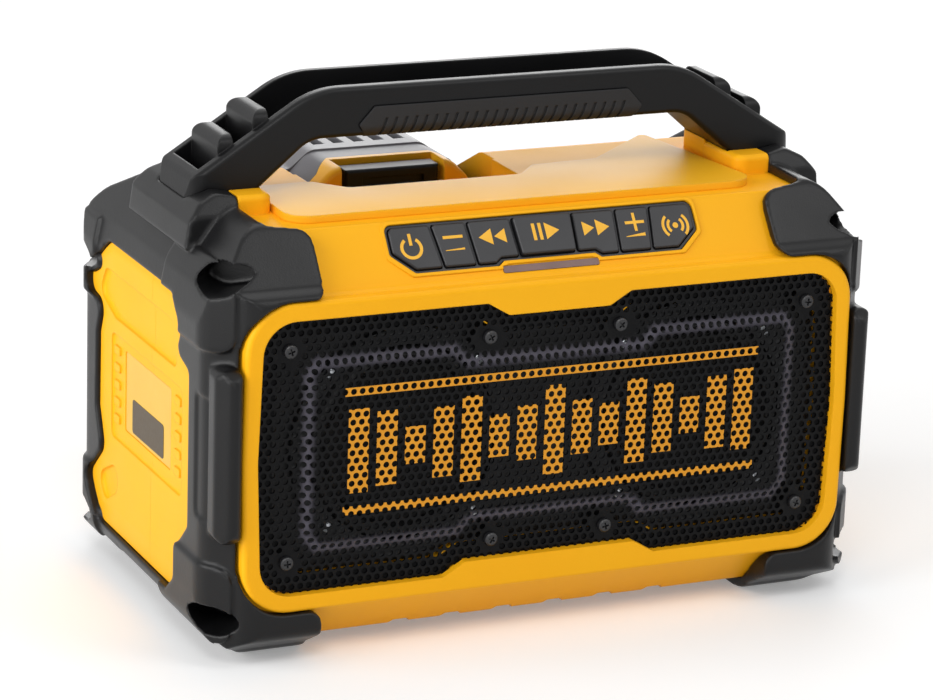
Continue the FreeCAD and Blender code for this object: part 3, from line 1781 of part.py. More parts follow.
def make_rear_shell():
    width = mm("pack_width") / 2
    start = mm("rail_case_depth") + 1.05
    deep = mm("pack_depth") - 1
    long = mm("pack_length")
    skin = mm("shell_wall")
    near = mm("pack_front")
    shape = prism(centred([
        (width, 0, 4), (width, long - 12, 2), (width - 5, long - 7, 3), (width - 9, long - 6, 4),
        (width - 17, long + 0.6, 7),
    ]), "front", near + start, near + deep)
    edges = [
        edge for edge in shape.Edges
        if edge.BoundBox.YMin > near + deep - 0.01
    ]
    shape = shape.makeFillet(3.0, edges)
    cavity = pack_block((-width + skin, start - 1, skin), (width - skin, deep - skin, long - 15))
    shape = shape.cut(cavity)
    pillars = rods(pack_screw_spots(), 2.4, near + start, near + deep - skin + 0.5)
    cells = mm("cell_length") / 2 + 0.4
    room = pack_block((-cells, start - 1, skin), (cells, deep - skin, long - 15))
    shape = joined(shape, pillars).cut(room)
    slots = []
    for step in range(-2, 3):
        x = step * 8.3
        slots.append(pack_block((x - 2.2, start + 7, long - 5), (x + 2.2, deep + 5, long + 9)))
    shape = shape.cut(slots)
    tools = rods(pack_screw_spots(), 1.0, near + start - 1, near + deep + 5)
    tools += rods(pack_screw_spots(), 1.9, near + start + 8, near + deep + 5)
    feature("battery_rear_shell", shape.cut(tools))


def make_pack_inside():
    near = mm("pack_front")
    start = near + mm("rail_case_depth") + 1.05
    screws(
        "battery_screws", screw(1.6, 1.2, 0.7, 13.0),
        [(x, start + 8.05, z) for x, z in pack_screw_spots()], (0, 1, 0),
    )
    cells = []
    radius = mm("cell_radius")
    pitch = mm("cell_pitch")
    for y in (29.3, 48.4):
        for step in range(5):
            spot = pack_spot(-mm("cell_length") / 2, y, 13.0 + step * pitch)
            cells.append(Part.makeCylinder(radius, mm("cell_length"), spot, Vector(1, 0, 0)))
    obj = doc.addObject("Part::Feature", "battery_cells")
    obj.Shape = Part.makeCompound(cells)
    keep(obj, "battery_cells")
    contacts = []
    floor = mm("terminal_height") + 5 + mm("shell_wall") + 0.02
    for step in (-1, 0, 1):
        for side in (-1, 1):
            x = step * mm("blade_pitch")
            low_x, high_x = sorted((x + side * 0.8, x + side * 1.6))
            contacts.append(pack_block((low_x, 3, floor), (high_x, 11.5, floor + 9)))
    obj = doc.addObject("Part::Feature", "battery_contacts")
    obj.Shape = Part.makeCompound(contacts)
    keep(obj, "battery_contacts")


def make_pack_button():
    half_width = mm("button_width") / 2
    long = mm("pack_length")
    low = long - mm("button_height") - 2.2
    high = long - 1.6
    plate = pack_block((-half_width, 1.0, low), (half_width, 9.5, high))
    edges = [edge for edge in plate.Edges if edge.BoundBox.YMax < mm("pack_front") + 1.01]
    plate = plate.makeChamfer(0.8, edges)
    slot = pack_block((-half_width + 7, 0, low + 2.5), (half_width - 6, 3.0, high - 3.5))
    bar = pack_block((-half_width + 10, 1.6, low + 4), (half_width - 10, 4, low + 6.5))
    feature("battery_button", plate.cut(slot).fuse(bar))


make_front_shell()
make_rear_shell()
make_pack_inside()
make_pack_button()


# Terminals in the bay

def make_terminals():
    block_body = new_body("terminal_block")
    sketch = sketched(block_body, "XY_Plane", [
        ("-Sizes.terminal_width / 2 * 1 mm", "0.05 mm"),
        ("Sizes.terminal_width / 2 * 1 mm", "0.05 mm"),
        ("Sizes.terminal_width / 2 * 1 mm", "Sizes.terminal_depth * 1 mm"),
        ("-Sizes.terminal_width / 2 * 1 mm", "Sizes.terminal_depth * 1 mm"),
    ])
    padded(block_body, sketch, "Sizes.terminal_height * 1 mm")
    place(
        block_body, "Sizes.pack_x * 1 mm",
        "(Sizes.pack_front - Sizes.bay_clearance) * 1 mm",
        "(Sizes.pack_top - Sizes.pack_length - Sizes.bay_floor_gap + 0.05) * 1 mm",
    )
    doc.recompute()
    high = bay_floor + 0.05 + mm("terminal_height") + 0.02
    blades = []
    for step in (-1, 0, 1):
        x = mm("pack_x") + step * mm("blade_pitch")
        y = bay_front + 5
        blades.append(block((x - 0.4, y, high), (x + 0.4, y + 6.5, high + mm("blade_height"))))
    obj = doc.addObject("Part::Feature", "terminal_blades")
    obj.Shape = Part.makeCompound(blades)
    keep(obj, "terminal_blades")


make_terminals()


# Main board on the bay's front wall, with what stands on it

board_back = bay_front - mm("bay_wall") - mm("board_gap") - 0.02
board_front = board_back - mm("board_thickness")


def make_boards():
    board = new_body("main_board")
    sketch = sketched(board, "XY_Plane", [
        ("-Sizes.board_width / 2 * 1 mm", "-Sizes.board_height / 2 * 1 mm"),
        ("Sizes.board_width / 2 * 1 mm", "-Sizes.board_height / 2 * 1 mm"),
        ("Sizes.board_width / 2 * 1 mm", "Sizes.board_height / 2 * 1 mm"),
        ("-Sizes.board_width / 2 * 1 mm", "Sizes.board_height / 2 * 1 mm"),
    ])
    padded(board, sketch, "Sizes.board_thickness * 1 mm")
    for a in (-1, 1):
        for b in (-1, 1):
            hole = sketched(board, "XY_Plane", [
                (f"({a} * (Sizes.board_width / 2 - 4) - 1.5) * 1 mm",
                 f"({b} * (Sizes.board_height / 2 - 4) - 1.5) * 1 mm"),
                (f"({a} * (Sizes.board_width / 2 - 4) + 1.5) * 1 mm",
                 f"({b} * (Sizes.board_height / 2 - 4) - 1.5) * 1 mm"),
                (f"({a} * (Sizes.board_width / 2 - 4) + 1.5) * 1 mm",
                 f"({b} * (Sizes.board_height / 2 - 4) + 1.5) * 1 mm"),
                (f"({a} * (Sizes.board_width / 2 - 4) - 1.5) * 1 mm",
                 f"({b} * (Sizes.board_height / 2 - 4) + 1.5) * 1 mm"),
            ])
            pocketed(board, hole, "Sizes.board_thickness * 2 mm", True)
    board.Placement = FreeCAD.Placement(Vector(), FreeCAD.Rotation(Vector(1, 0, 0), 90))
    place(
        board, "Sizes.pack_x * 1 mm",
        "(Sizes.pack_front - Sizes.bay_clearance - Sizes.bay_wall - Sizes.board_gap - 0.02) * 1 mm",
        "Sizes.board_z * 1 mm",
    )
    screws(
        "board_screws", screw(2.3, 1.4, 0.9, 5.0),
        [(x, board_front - 0.05, z) for x, z in board_post_spots()], (0, -1, 0),
    )
    left = mm("pack_x") - mm("board_width") / 2
    right = mm("pack_x") + mm("board_width") / 2
    z = mm("board_z")
    near = board_front - 0.03
    can = mm("capacitor_radius")
    spare = right - left - mm("sink_width") - 2 * can - mm("radio_width")
    start = left + spare / 2
    end = start + mm("sink_width")
    low = z - mm("sink_height") / 2
    high = z + mm("sink_height") / 2
    base = block((start, near - 3, low), (end, near, high))
    thick = 1.6
    pitch = (mm("sink_width") - thick) / 6
    fins = [
        block(
            (start + step * pitch, near - mm("sink_depth"), low),
            (start + step * pitch + thick, near - 2.5, high),
        )
        for step in range(7)
    ]
    feature("amplifier_heat_sink", joined(base, fins))
    along = Vector(0, -1, 0)
    can_x = end + spare / 5 + can
    cans = [
        Part.makeCylinder(can, mm("capacitor_length"), Vector(can_x, near, z + step * (2 * can + 2)), along)
        for step in (-1, 0, 1)
    ]
    obj = doc.addObject("Part::Feature", "board_capacitors")
    obj.Shape = Part.makeCompound(cans)
    keep(obj, "board_capacitors")
    radio_end = right - spare / 5
    feature("radio_module", block(
        (radio_end - mm("radio_width"), near - 2.4, z + 2 - mm("radio_height") / 2),
        (radio_end, near, z + 2 + mm("radio_height") / 2),
    ))


make_boards()
screws(
    "housing_screws", screw(2.9, 2.0, 1.2, mm("case_screw_length")),
    [(x, 14.05, z) for x, z in case_screw_spots()], (0, 1, 0),
)
screws(
    "handle_bolts", screw(3.6, 2.4, 1.7, 9.0, 1.8),
    [(x, y, top - wall - 0.05) for x, y in handle_bolt_spots()], (0, 0, -1),
)


# Flap in the back wall, with the sockets behind it

def make_flap():
    x = mm("flap_x")
    z = mm("flap_z")
    width = mm("flap_width") - 0.6
    height = mm("flap_height") - 0.6
    thick = mm("flap_thickness")
    low = z - height / 2
    axis_z = flap_pin_z
    outline = [
        (rear, axis_z, 0),
        (rear, z + height / 2, 0.8),
        (rear - thick, z + height / 2, 0.8),
        (rear - thick, axis_z, 0),
    ]
    plate = prism(outline, "side", x - width / 2, x + width / 2)
    knuckle = Part.makeCylinder(
        thick / 2, width, Vector(x - width / 2, flap_pin_y, axis_z), Vector(1, 0, 0)
    )
    grip = block((x - 8, rear - 0.5, z + height / 2 - 3.2), (x + 8, rear + 0.8, z + height / 2 - 1.8))
    plate = joined(plate, [knuckle, grip])
    bore = Part.makeCylinder(
        mm("flap_pin_radius") + 0.3, width + 4, Vector(x - width / 2 - 2, flap_pin_y, axis_z),
        Vector(1, 0, 0),
    )
    feature("port_cover", plate.cut(bore))
    pin = Part.makeCylinder(
        mm("flap_pin_radius") - 0.02, mm("flap_width") + 2.9,
        Vector(x - mm("flap_width") / 2 - 1.45, flap_pin_y, axis_z), Vector(1, 0, 0),
    )
    feature("port_cover_pin", pin)
    deep = rear - mm("flap_well") + 0.03
    panel = block(
        (x - mm("flap_width") / 2 + 4.2, deep, z - mm("flap_height") / 2 + 6.2),
        (x + mm("flap_width") / 2 - 4.2, deep + 2, z + mm("flap_height") / 2 - 3.2),
    )
    middle_z = z + 1.5
    round_hole = Part.makeCylinder(4.3, 5, Vector(x - 8, deep - 1, middle_z), Vector(0, 1, 0))
    square_hole = block((x + 3.7, deep - 1, middle_z - 4.3), (x + 14.3, deep + 4, middle_z + 4.3))
    feature("socket_panel", panel.cut([round_hole, square_hole]))
    return x, middle_z, deep


def make_sockets(x, z, deep):
    jack = new_body("audio_socket")
    turned(jack, [
        ("1.8 mm", "0 mm"), ("4 mm", "0 mm"), ("4 mm", "4.5 mm"), ("1.8 mm", "4.5 mm"),
    ])
    jack.Placement = FreeCAD.Placement(
        Vector(x - 8, deep, z), FreeCAD.Rotation(Vector(1, 0, 0), -90)
    )
    cup = block((x + 4, deep, z - 4), (x + 14, deep + 4.5, z + 4))
    cup = cup.cut(block((x + 5.2, deep + 1, z - 2.8), (x + 12.8, deep + 6, z + 2.8)))
    tongue = block((x + 6.5, deep + 0.5, z - 0.8), (x + 11.5, deep + 3.6, z + 0.4))
    feature("power_socket", cup.fuse(tongue))


make_sockets(*make_flap())


# Check every piece, then write it

doc.recompute()
for obj in parts:
    if "Invalid" in obj.State or "Error" in obj.State:
        raise ValueError(f"{obj.Label} failed")
    if obj.Shape.isNull() or not obj.Shape.isValid():
        raise ValueError(f"{obj.Label} has no valid shape")
    print(obj.Label, len(obj.Shape.Solids), round(obj.Shape.Volume / 1000, 1))

os.makedirs("parts", exist_ok=True)
for obj in parts:
    obj.Shape.exportStep(f"parts/{obj.Label}.step")
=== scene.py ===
import math

import bmesh
import bpy
import numpy as np
from mathutils import Matrix, Vector


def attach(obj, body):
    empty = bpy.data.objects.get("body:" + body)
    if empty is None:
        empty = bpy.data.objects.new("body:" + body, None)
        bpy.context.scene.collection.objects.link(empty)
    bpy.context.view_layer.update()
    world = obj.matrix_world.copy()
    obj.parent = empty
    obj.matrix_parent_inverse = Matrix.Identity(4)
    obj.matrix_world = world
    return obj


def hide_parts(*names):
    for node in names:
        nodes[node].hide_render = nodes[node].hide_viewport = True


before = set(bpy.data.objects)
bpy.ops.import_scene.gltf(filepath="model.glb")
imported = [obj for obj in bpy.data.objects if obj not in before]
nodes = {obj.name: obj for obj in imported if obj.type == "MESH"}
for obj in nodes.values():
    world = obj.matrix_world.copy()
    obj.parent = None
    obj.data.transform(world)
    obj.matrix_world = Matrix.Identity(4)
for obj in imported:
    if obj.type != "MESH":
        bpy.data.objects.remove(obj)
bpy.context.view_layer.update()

MM = 0.001

# The control slope's own frame: u along the case, v up the slope, and out of it
SLOPE_FOOT = Vector((0, -70.5, 137.0)) * MM
SLOPE_UP = Vector((0, 0.6027, 0.7980))
SLOPE_OUT = Vector((0, -0.7980, 0.6027))


# Materials

def linear(code):
    """An sRGB colour in hex as linear red, green, blue and alpha."""
    shares = [int(code[start:start + 2], 16) / 255 for start in (0, 2, 4)]
    return [s / 12.92 if s <= 0.04045 else ((s + 0.055) / 1.055) ** 2.4 for s in shares] + [1.0]


def grain(size_mm):
    """The texture scale that gives a pattern of this size, in Object coordinates."""
    return 1 / (size_mm * MM)


def new_material(name):
    material = bpy.data.materials.new(name)
    material.use_nodes = True
    material.node_tree.nodes.clear()
    return material


def add_node(material, kind, sockets=None, **settings):
    """Add a node; a socket takes a number, a colour or another node's output."""
    node = material.node_tree.nodes.new("ShaderNode" + kind)
    for name, value in settings.items():
        setattr(node, name, value)
    for name, value in (sockets or {}).items():
        if isinstance(value, bpy.types.NodeSocket):
            material.node_tree.links.new(value, node.inputs[name])
        else:
            node.inputs[name].default_value = value
    return node


def object_place(material):
    return add_node(material, "TexCoord").outputs["Object"]


def surface(material, **sockets):
    named = {name.replace("_", " "): value for name, value in sockets.items()}
    shader = add_node(material, "BsdfPrincipled", named)
    add_node(material, "OutputMaterial", {"Surface": shader.outputs["BSDF"]})
    return material


def eroded_skin(material, place, grain_mm, depth_mm, edge_mm):
    """The pitted skin of a spark-eroded mould, with the soft edges of moulded plastic."""
    edge = add_node(material, "Bevel", {"Radius": edge_mm * MM}, samples=6)
    pits = add_node(material, "TexVoronoi", {"Vector": place, "Scale": grain(grain_mm)})
    cloud = add_node(material, "TexNoise", {"Vector": place, "Scale": grain(grain_mm * 2.3), "Detail": 3})
    height = add_node(
        material, "Math", {0: pits.outputs["Distance"], 1: cloud.outputs["Fac"]}, operation="ADD",
    )
    bump = add_node(material, "Bump", {
        "Height": height.outputs[0], "Distance": depth_mm * MM, "Strength": 0.6,
        "Normal": edge.outputs["Normal"],
    })
    return bump.outputs["Normal"]


def shaded(material, place, dark, light, size_mm):
    """A colour that drifts slowly between two shades."""
    cloud = add_node(material, "TexNoise", {"Vector": place, "Scale": grain(size_mm), "Detail": 4})
    mix = add_node(material, "Mix", {
        "Factor": cloud.outputs["Fac"], "A": linear(dark), "B": linear(light),
    }, data_type="RGBA")
    return mix.outputs["Result"]


def ranged(material, value, low, high):
    """A texture value stretched to a range, for roughness."""
    spread = add_node(material, "MapRange", {"Value": value, "To Min": low, "To Max": high})
    return spread.outputs["Result"]


def moulded(name, dark, light, roughness, grain_mm, depth_mm, edge_mm=0.5, shine=0.5):
    """A moulded plastic or rubber in one colour family."""
    material = new_material(name)
    place = object_place(material)
    smear = add_node(material, "TexNoise", {"Vector": place, "Scale": grain(22), "Detail": 5})
    return surface(
        material,
        Base_Color=shaded(material, place, dark, light, 60),
        Roughness=ranged(material, smear.outputs["Fac"], roughness - 0.06, roughness + 0.06),
        Normal=eroded_skin(material, place, grain_mm, depth_mm, edge_mm),
        Specular_IOR_Level=shine,
    )


# Impact-grade ABS from a spark-eroded mould: warm yellow with a silky, finely pitted sheen.
# The real pits are 0.1 mm; they are drawn 0.7 mm wide so that they show.
yellow_abs = moulded("yellow_abs_moulded", "fcb013", "ffbb1a", 0.44, 0.7, 0.03, 0.8, 0.14)
# The same plastic on the tray, flatter and a little glossier
tray_abs = moulded("tray_abs_moulded", "f8b41c", "fdbf2a", 0.40, 0.7, 0.03, 0.8, 0.20)
# Styrenic rubber moulded over the ends: charcoal, satin, with a fine leathery grain
end_rubber = moulded("charcoal_rubber_overmoulded", "0c0c0d", "131314", 0.34, 0.55, 0.04, 0.9, 0.25)
# Glass-filled nylon: deep black with a satin skin
handle_nylon = moulded("black_nylon_moulded", "0a0a0b", "101011", 0.36, 0.8, 0.03, 0.9, 0.21)
# Softer rubber of the grip sleeve, duller than the handle
grip_rubber = moulded("grip_rubber_moulded", "161617", "1e1e20", 0.62, 0.9, 0.05, 0.7, 0.35)
# Silicone keys: smooth black with a light bloom and soft edges
key_rubber = moulded("key_silicone_moulded", "1b1b1d", "232326", 0.42, 0.6, 0.015, 0.4, 0.4)
# Hidden black ABS
inner_abs = moulded("black_abs_moulded", "0c0c0d", "131314", 0.5, 0.8, 0.03)
# Dark grey nylon of the battery's rear shell
battery_nylon = moulded("grey_nylon_moulded", "5c5b5f", "6a696d", 0.40, 0.8, 0.03, 0.8, 0.6)
cover_rubber = moulded("cover_rubber_moulded", "1c1c1d", "262628", 0.6, 0.9, 0.05)
# Butyl rubber roll of the drivers
driver_rubber = moulded("butyl_rubber_pressed", "0d0d0e", "151516", 0.55, 0.8, 0.03)
# Pressed paper pulp of the cones: matt and fibrous
cone_paper = moulded("cone_paper_pressed", "161616", "202020", 0.85, 1.4, 0.08)
switch_plastic = moulded("switch_nylon_moulded", "1a1a1c", "242427", 0.45, 0.6, 0.01)
# Ferrite, fired and ground: dull grey-black
ferrite = moulded("ferrite_ground", "262729", "323336", 0.6, 1.0, 0.02)


def coated(name, dark, light, roughness, grain_mm, metallic=0.0):
    """Powder or oxide on steel: a fine orange-peel skin."""
    material = new_material(name)
    place = object_place(material)
    peel = add_node(material, "TexNoise", {"Vector": place, "Scale": grain(grain_mm), "Detail": 2})
    bump = add_node(material, "Bump", {
        "Height": peel.outputs["Fac"], "Distance": 0.05 * MM, "Strength": 0.5,
    })
    return surface(
        material,
        Base_Color=shaded(material, place, dark, light, 30),
        Roughness=ranged(material, peel.outputs["Fac"], roughness - 0.08, roughness + 0.08),
        Metallic=metallic,
        Normal=bump.outputs["Normal"],
    )


# Screws of black-oxide steel
black_steel = coated("black_oxide_steel", "141416", "1f1f22", 0.38, 0.8)
# Zinc-plated screws: cool bright grey
zinc_steel = coated("zinc_plated_steel", "a9adb3", "c4c8cc", 0.3, 0.8, 1.0)
frame_steel = coated("driver_steel_painted", "17181a", "222326", 0.45, 0.9)
# Extruded aluminium, brushed by the die
aluminium = coated("aluminium_extruded", "9b9ea3", "b7babd", 0.34, 0.6, 1.0)
brass = coated("brass_stamped", "b98b3d", "d4a755", 0.28, 0.6, 1.0)
# Shrink sleeve on the cells
cell_sleeve = coated("cell_sleeve_shrunk", "2f6f8f", "3a7d9e", 0.35, 1.5)
# Solder resist over glass cloth
circuit_board = coated("circuit_board_resist", "10402a", "185236", 0.35, 1.2)


# Where the battery's yellow ends, in y: beside the release button and behind it
JOINT_BESIDE = 26.5
JOINT_BEHIND = 34.0
BATTERY_MIDDLE = -25
# Half the width of the yellow behind the button, at its back and at its front
YELLOW_HALF_BACK = 21
YELLOW_HALF_FRONT = 28
JOINT_LINE = 0.2


def two_shot_case():
    """Battery case in two shots: yellow in front, grey behind, with a fine joint between.

    The yellow reaches further back in the middle, where it frames the release button.
    """
    material = new_material("battery_two_shot_moulded")
    place = object_place(material)
    axes = add_node(material, "SeparateXYZ", {"Vector": place})
    sideways = add_node(
        material, "Math", {0: axes.outputs["X"], 1: BATTERY_MIDDLE * MM}, operation="SUBTRACT",
    )
    sideways = add_node(material, "Math", {0: sideways.outputs[0]}, operation="ABSOLUTE")
    joint_y = add_node(material, "MapRange", {
        "Value": sideways.outputs[0],
        "From Min": YELLOW_HALF_BACK * MM, "From Max": YELLOW_HALF_FRONT * MM,
        "To Min": JOINT_BEHIND * MM, "To Max": JOINT_BESIDE * MM,
    })
    past = add_node(
        material, "Math", {0: axes.outputs["Y"], 1: joint_y.outputs[0]}, operation="SUBTRACT",
    )
    behind = add_node(material, "Math", {0: past.outputs[0], 1: 0.0}, operation="GREATER_THAN")
    both = add_node(material, "Mix", {
        "Factor": behind.outputs[0],
        "A": shaded(material, place, "f6b21c", "fbbd2a", 60),
        "B": shaded(material, place, "5c5b5f", "6a696d", 60),
    }, data_type="RGBA")
    away = add_node(material, "Math", {0: past.outputs[0]}, operation="ABSOLUTE")
    joint = add_node(
        material, "Math", {0: away.outputs[0], 1: JOINT_LINE * MM}, operation="LESS_THAN",
    )
    colour = add_node(material, "Mix", {
        "Factor": joint.outputs[0], "A": both.outputs["Result"], "B": linear("33291a"),
    }, data_type="RGBA")
    smear = add_node(material, "TexNoise", {"Vector": place, "Scale": grain(22), "Detail": 5})
    return surface(
        material,
        Base_Color=colour.outputs["Result"],
        Roughness=ranged(material, smear.outputs["Fac"], 0.36, 0.46),
        Normal=eroded_skin(material, place, 0.7, 0.03, 0.8),
        Specular_IOR_Level=0.3,
    )


battery_two_shot = two_shot_case()


def smoked_acrylic():
    """Status window: smoky plum acrylic with a polished face."""
    material = new_material("smoked_acrylic_polished")
    place = object_place(material)
    return surface(
        material,
        Base_Color=shaded(material, place, "6d5450", "80655f", 8),
        Roughness=0.22,
        Specular_IOR_Level=0.2,
    )


lens_acrylic = smoked_acrylic()


def between(material, value, low, high):
    """1 where a coordinate lies between two values, else 0."""
    above = add_node(material, "Math", {0: value, 1: low}, operation="GREATER_THAN")
    below = add_node(material, "Math", {0: value, 1: high}, operation="LESS_THAN")
    return multiplied(material, above.outputs[0], below.outputs[0])


def multiplied(material, first, second):
    return add_node(material, "Math", {0: first, 1: second}, operation="MULTIPLY").outputs[0]


# The print on the grille, in millimetres: two lines, and level bars about a middle height
UPPER_LINE = (99.8 * MM, 103.0 * MM)
LOWER_LINE = (55.4 * MM, 58.6 * MM)
PRINT_HALF = 82.5 * MM
PRINT_FACE = -76.75 * MM
BAR_PITCH = 11.0 * MM
BAR_HALF_SHARE = 0.36
BAR_MIDDLE = 79.2 * MM
BAR_HALF_HEIGHTS = (7 * MM, 17 * MM)
BAR_WAVE = 1.9


def printed_steel():
    """Grille of powder-coated steel with a yellow screen print (two lines and level bars) and a painted
    highlight on the slant round the raised middle.
    """
    material = new_material("printed_steel_grille")
    place = object_place(material)
    axes = add_node(material, "SeparateXYZ", {"Vector": place})
    x, y, z = (axes.outputs[name] for name in "XYZ")
    upper = between(material, z, *UPPER_LINE)
    lower = between(material, z, *LOWER_LINE)
    number = add_node(material, "Math", {0: x, 1: 1 / BAR_PITCH}, operation="MULTIPLY")
    whole = add_node(material, "Math", {0: number.outputs[0]}, operation="ROUND")
    offset = add_node(
        material, "Math", {0: number.outputs[0], 1: whole.outputs[0]}, operation="SUBTRACT",
    )
    aside = add_node(material, "Math", {0: offset.outputs[0]}, operation="ABSOLUTE")
    bar = add_node(material, "Math", {0: aside.outputs[0], 1: BAR_HALF_SHARE}, operation="LESS_THAN")
    wave = add_node(material, "Math", {0: whole.outputs[0], 1: BAR_WAVE}, operation="MULTIPLY")
    swing = add_node(material, "Math", {0: wave.outputs[0]}, operation="COSINE")
    height = add_node(material, "MapRange", {
        "Value": swing.outputs[0], "From Min": -1.0, "From Max": 1.0,
        "To Min": BAR_HALF_HEIGHTS[0], "To Max": BAR_HALF_HEIGHTS[1],
    })
    centred = add_node(material, "Math", {0: z, 1: BAR_MIDDLE}, operation="SUBTRACT")
    away = add_node(material, "Math", {0: centred.outputs[0]}, operation="ABSOLUTE")
    inside = add_node(
        material, "Math", {0: away.outputs[0], 1: height.outputs[0]}, operation="LESS_THAN",
    )
    bars = multiplied(material, bar.outputs[0], inside.outputs[0])
    marks = add_node(material, "Math", {0: upper, 1: lower}, operation="ADD")
    print_area = add_node(material, "Math", {0: marks.outputs[0], 1: bars}, operation="MAXIMUM")
    width = between(material, x, -PRINT_HALF, PRINT_HALF)
    face = add_node(material, "Math", {0: y, 1: PRINT_FACE}, operation="LESS_THAN")
    printed = multiplied(material, print_area.outputs[0], width)
    printed = multiplied(material, printed, face.outputs[0])
    # Painted highlight: the slant round the raised middle is drawn a paler grey for the gleam of the
    # lamps on it
    pressed = add_node(material, "Attribute", attribute_name="pressed")
    black = shaded(material, place, "050506", "0b0b0d", 20)
    painted_gleam = shaded(material, place, "3c3a42", "5c5963", 3)
    coat_and_gleam = add_node(material, "Mix", {
        "Factor": pressed.outputs["Fac"], "A": black, "B": painted_gleam,
    }, data_type="RGBA").outputs["Result"]
    ink = shaded(material, place, "d8912a", "e8a133", 6)
    colour = add_node(material, "Mix", {"Factor": printed, "A": coat_and_gleam, "B": ink}, data_type="RGBA")
    rough = ranged(material, printed, 0.34, 0.5)
    peel = add_node(material, "TexNoise", {"Vector": place, "Scale": grain(0.8), "Detail": 2})
    bump = add_node(material, "Bump", {
        "Height": peel.outputs["Fac"], "Distance": 0.04 * MM, "Strength": 0.4,
    })
    return surface(
        material, Base_Color=colour.outputs["Result"], Roughness=rough,
        Normal=bump.outputs["Normal"], Specular_IOR_Level=0.12,
    )


grille_steel = printed_steel()


def icon_ink():
    """Yellow icons moulded flush into the keys."""
    material = new_material("icon_silicone_yellow")
    place = object_place(material)
    return surface(
        material, Base_Color=shaded(material, place, "efb023", "f6bb33", 4), Roughness=0.5,
    )


icon_yellow = icon_ink()


def label_film(name, dark, light, roughness):
    """Bare label film, smooth with a slight orange peel."""
    material = new_material(name)
    place = object_place(material)
    peel = add_node(material, "TexNoise", {"Vector": place, "Scale": grain(1.5), "Detail": 2})
    bump = add_node(material, "Bump", {
        "Height": peel.outputs["Fac"], "Distance": 0.02 * MM, "Strength": 0.4,
    })
    return surface(
        material,
        Base_Color=shaded(material, place, dark, light, 12),
        Roughness=ranged(material, peel.outputs["Fac"], roughness - 0.05, roughness + 0.05),
        Normal=bump.outputs["Normal"],
        Specular_IOR_Level=0.4,
    )


# Polyester label film: pale yellow, satin, with a darker bare strip laid over it
pale_label = label_film("label_film_pale", "dcae3c", "e3b748", 0.45)
dark_label = label_film("label_film_dark", "3d2f16", "47371a", 0.4)
# Closed-cell foam under the grille: dead black
seal_foam = moulded("seal_foam_cut", "0a0a0b", "101011", 0.9, 0.7, 0.05, 0.3, 0.2)


FINISHES = {
    yellow_abs: ("front_housing", "rear_housing"),
    tray_abs: ("top_tray",),
    battery_two_shot: ("battery_front_shell",),
    battery_nylon: ("battery_rear_shell",),
    end_rubber: ("left_bumper", "right_bumper"),
    handle_nylon: ("handle", "battery_button"),
    grip_rubber: ("handle_grip",),
    key_rubber: (
        "keypad_frame", "power_key", "volume_down_key", "rewind_key", "play_key",
        "forward_key", "volume_up_key", "wireless_key",
    ),
    lens_acrylic: ("status_lens",),
    grille_steel: ("grille",),
    black_steel: ("grille_screws", "handle_bolts", "battery_screws"),
    zinc_steel: ("baffle_screws", "driver_screws", "board_screws", "housing_screws"),
    inner_abs: ("baffle", "terminal_block", "socket_panel", "radio_module"),
    switch_plastic: ("key_switches", "audio_socket", "power_socket", "board_capacitors"),
    circuit_board: ("key_board", "main_board"),
    aluminium: ("amplifier_heat_sink",),
    brass: ("terminal_blades", "battery_contacts", "port_cover_pin"),
    cell_sleeve: ("battery_cells",),
    cover_rubber: ("port_cover",),
    frame_steel: ("left_driver_basket", "right_driver_basket"),
    ferrite: ("left_driver_magnet", "right_driver_magnet"),
    driver_rubber: ("left_driver_surround", "right_driver_surround"),
    cone_paper: (
        "left_driver_cone", "right_driver_cone", "left_driver_dust_cap", "right_driver_dust_cap",
    ),
}
for material, names in FINISHES.items():
    for name in names:
        mesh = nodes[name].data
        mesh.materials.clear()
        mesh.materials.append(material)


# Pieces

def add_piece(name, mesh, body, slot, material, *stands_for):
    """Put a finished mesh on a body of the object."""
    piece = bpy.data.objects.new(name, mesh)
    bpy.context.scene.collection.objects.link(piece)
    mesh.materials.clear()
    mesh.materials.append(material)
    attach(piece, body)
    if stands_for:
        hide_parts(*stands_for)
    return piece


def mesh_of(shape, name, smooth=True):
    """Turn a bmesh into a mesh with its faces pointing outwards."""
    bmesh.ops.recalc_face_normals(shape, faces=shape.faces)
    mesh = bpy.data.meshes.new(name)
    shape.to_mesh(mesh)
    shape.free()
    for polygon in mesh.polygons:
        polygon.use_smooth = smooth
    return mesh


def merged_copy(name):
    """A CAD node's mesh with its loose triangles sewn together."""
    shape = bmesh.new()
    shape.from_mesh(nodes[name].data)
    bmesh.ops.remove_doubles(shape, verts=shape.verts, dist=0.002 * MM)
    return shape


def applied(mesh, *modifiers):
    """The mesh after its modifiers, each a kind and its settings."""
    carrier = bpy.data.objects.new("carrier", mesh)
    bpy.context.scene.collection.objects.link(carrier)
    for kind, settings in modifiers:
        modifier = carrier.modifiers.new(kind.lower(), kind)
        for name, value in settings.items():
            setattr(modifier, name, value)
    graph = bpy.context.evaluated_depsgraph_get()
    result = bpy.data.meshes.new_from_object(carrier.evaluated_get(graph))
    bpy.data.objects.remove(carrier)
    return result


# Middles of the eyes in the rubber ends
EYES = [
    Vector((side * 124, y, z)) * MM
    for side in (-1, 1) for y, z in ((-62, 142.7), (-62, 18.1), (63.2, 119.2), (63.2, 18.1))
]
# The rubber is drawn in cells of this size, its edges are rounded in so many passes, and then
# this share of the faces is kept
CELL = 0.6
ROUNDS = 14
KEPT_SHARE = 0.3
# Full rounding starts beyond the eye's rim; on the rim there is this much
EYE_REACH = 13
EYE_FADE = 5
LEAST_ROUNDING = 0.12


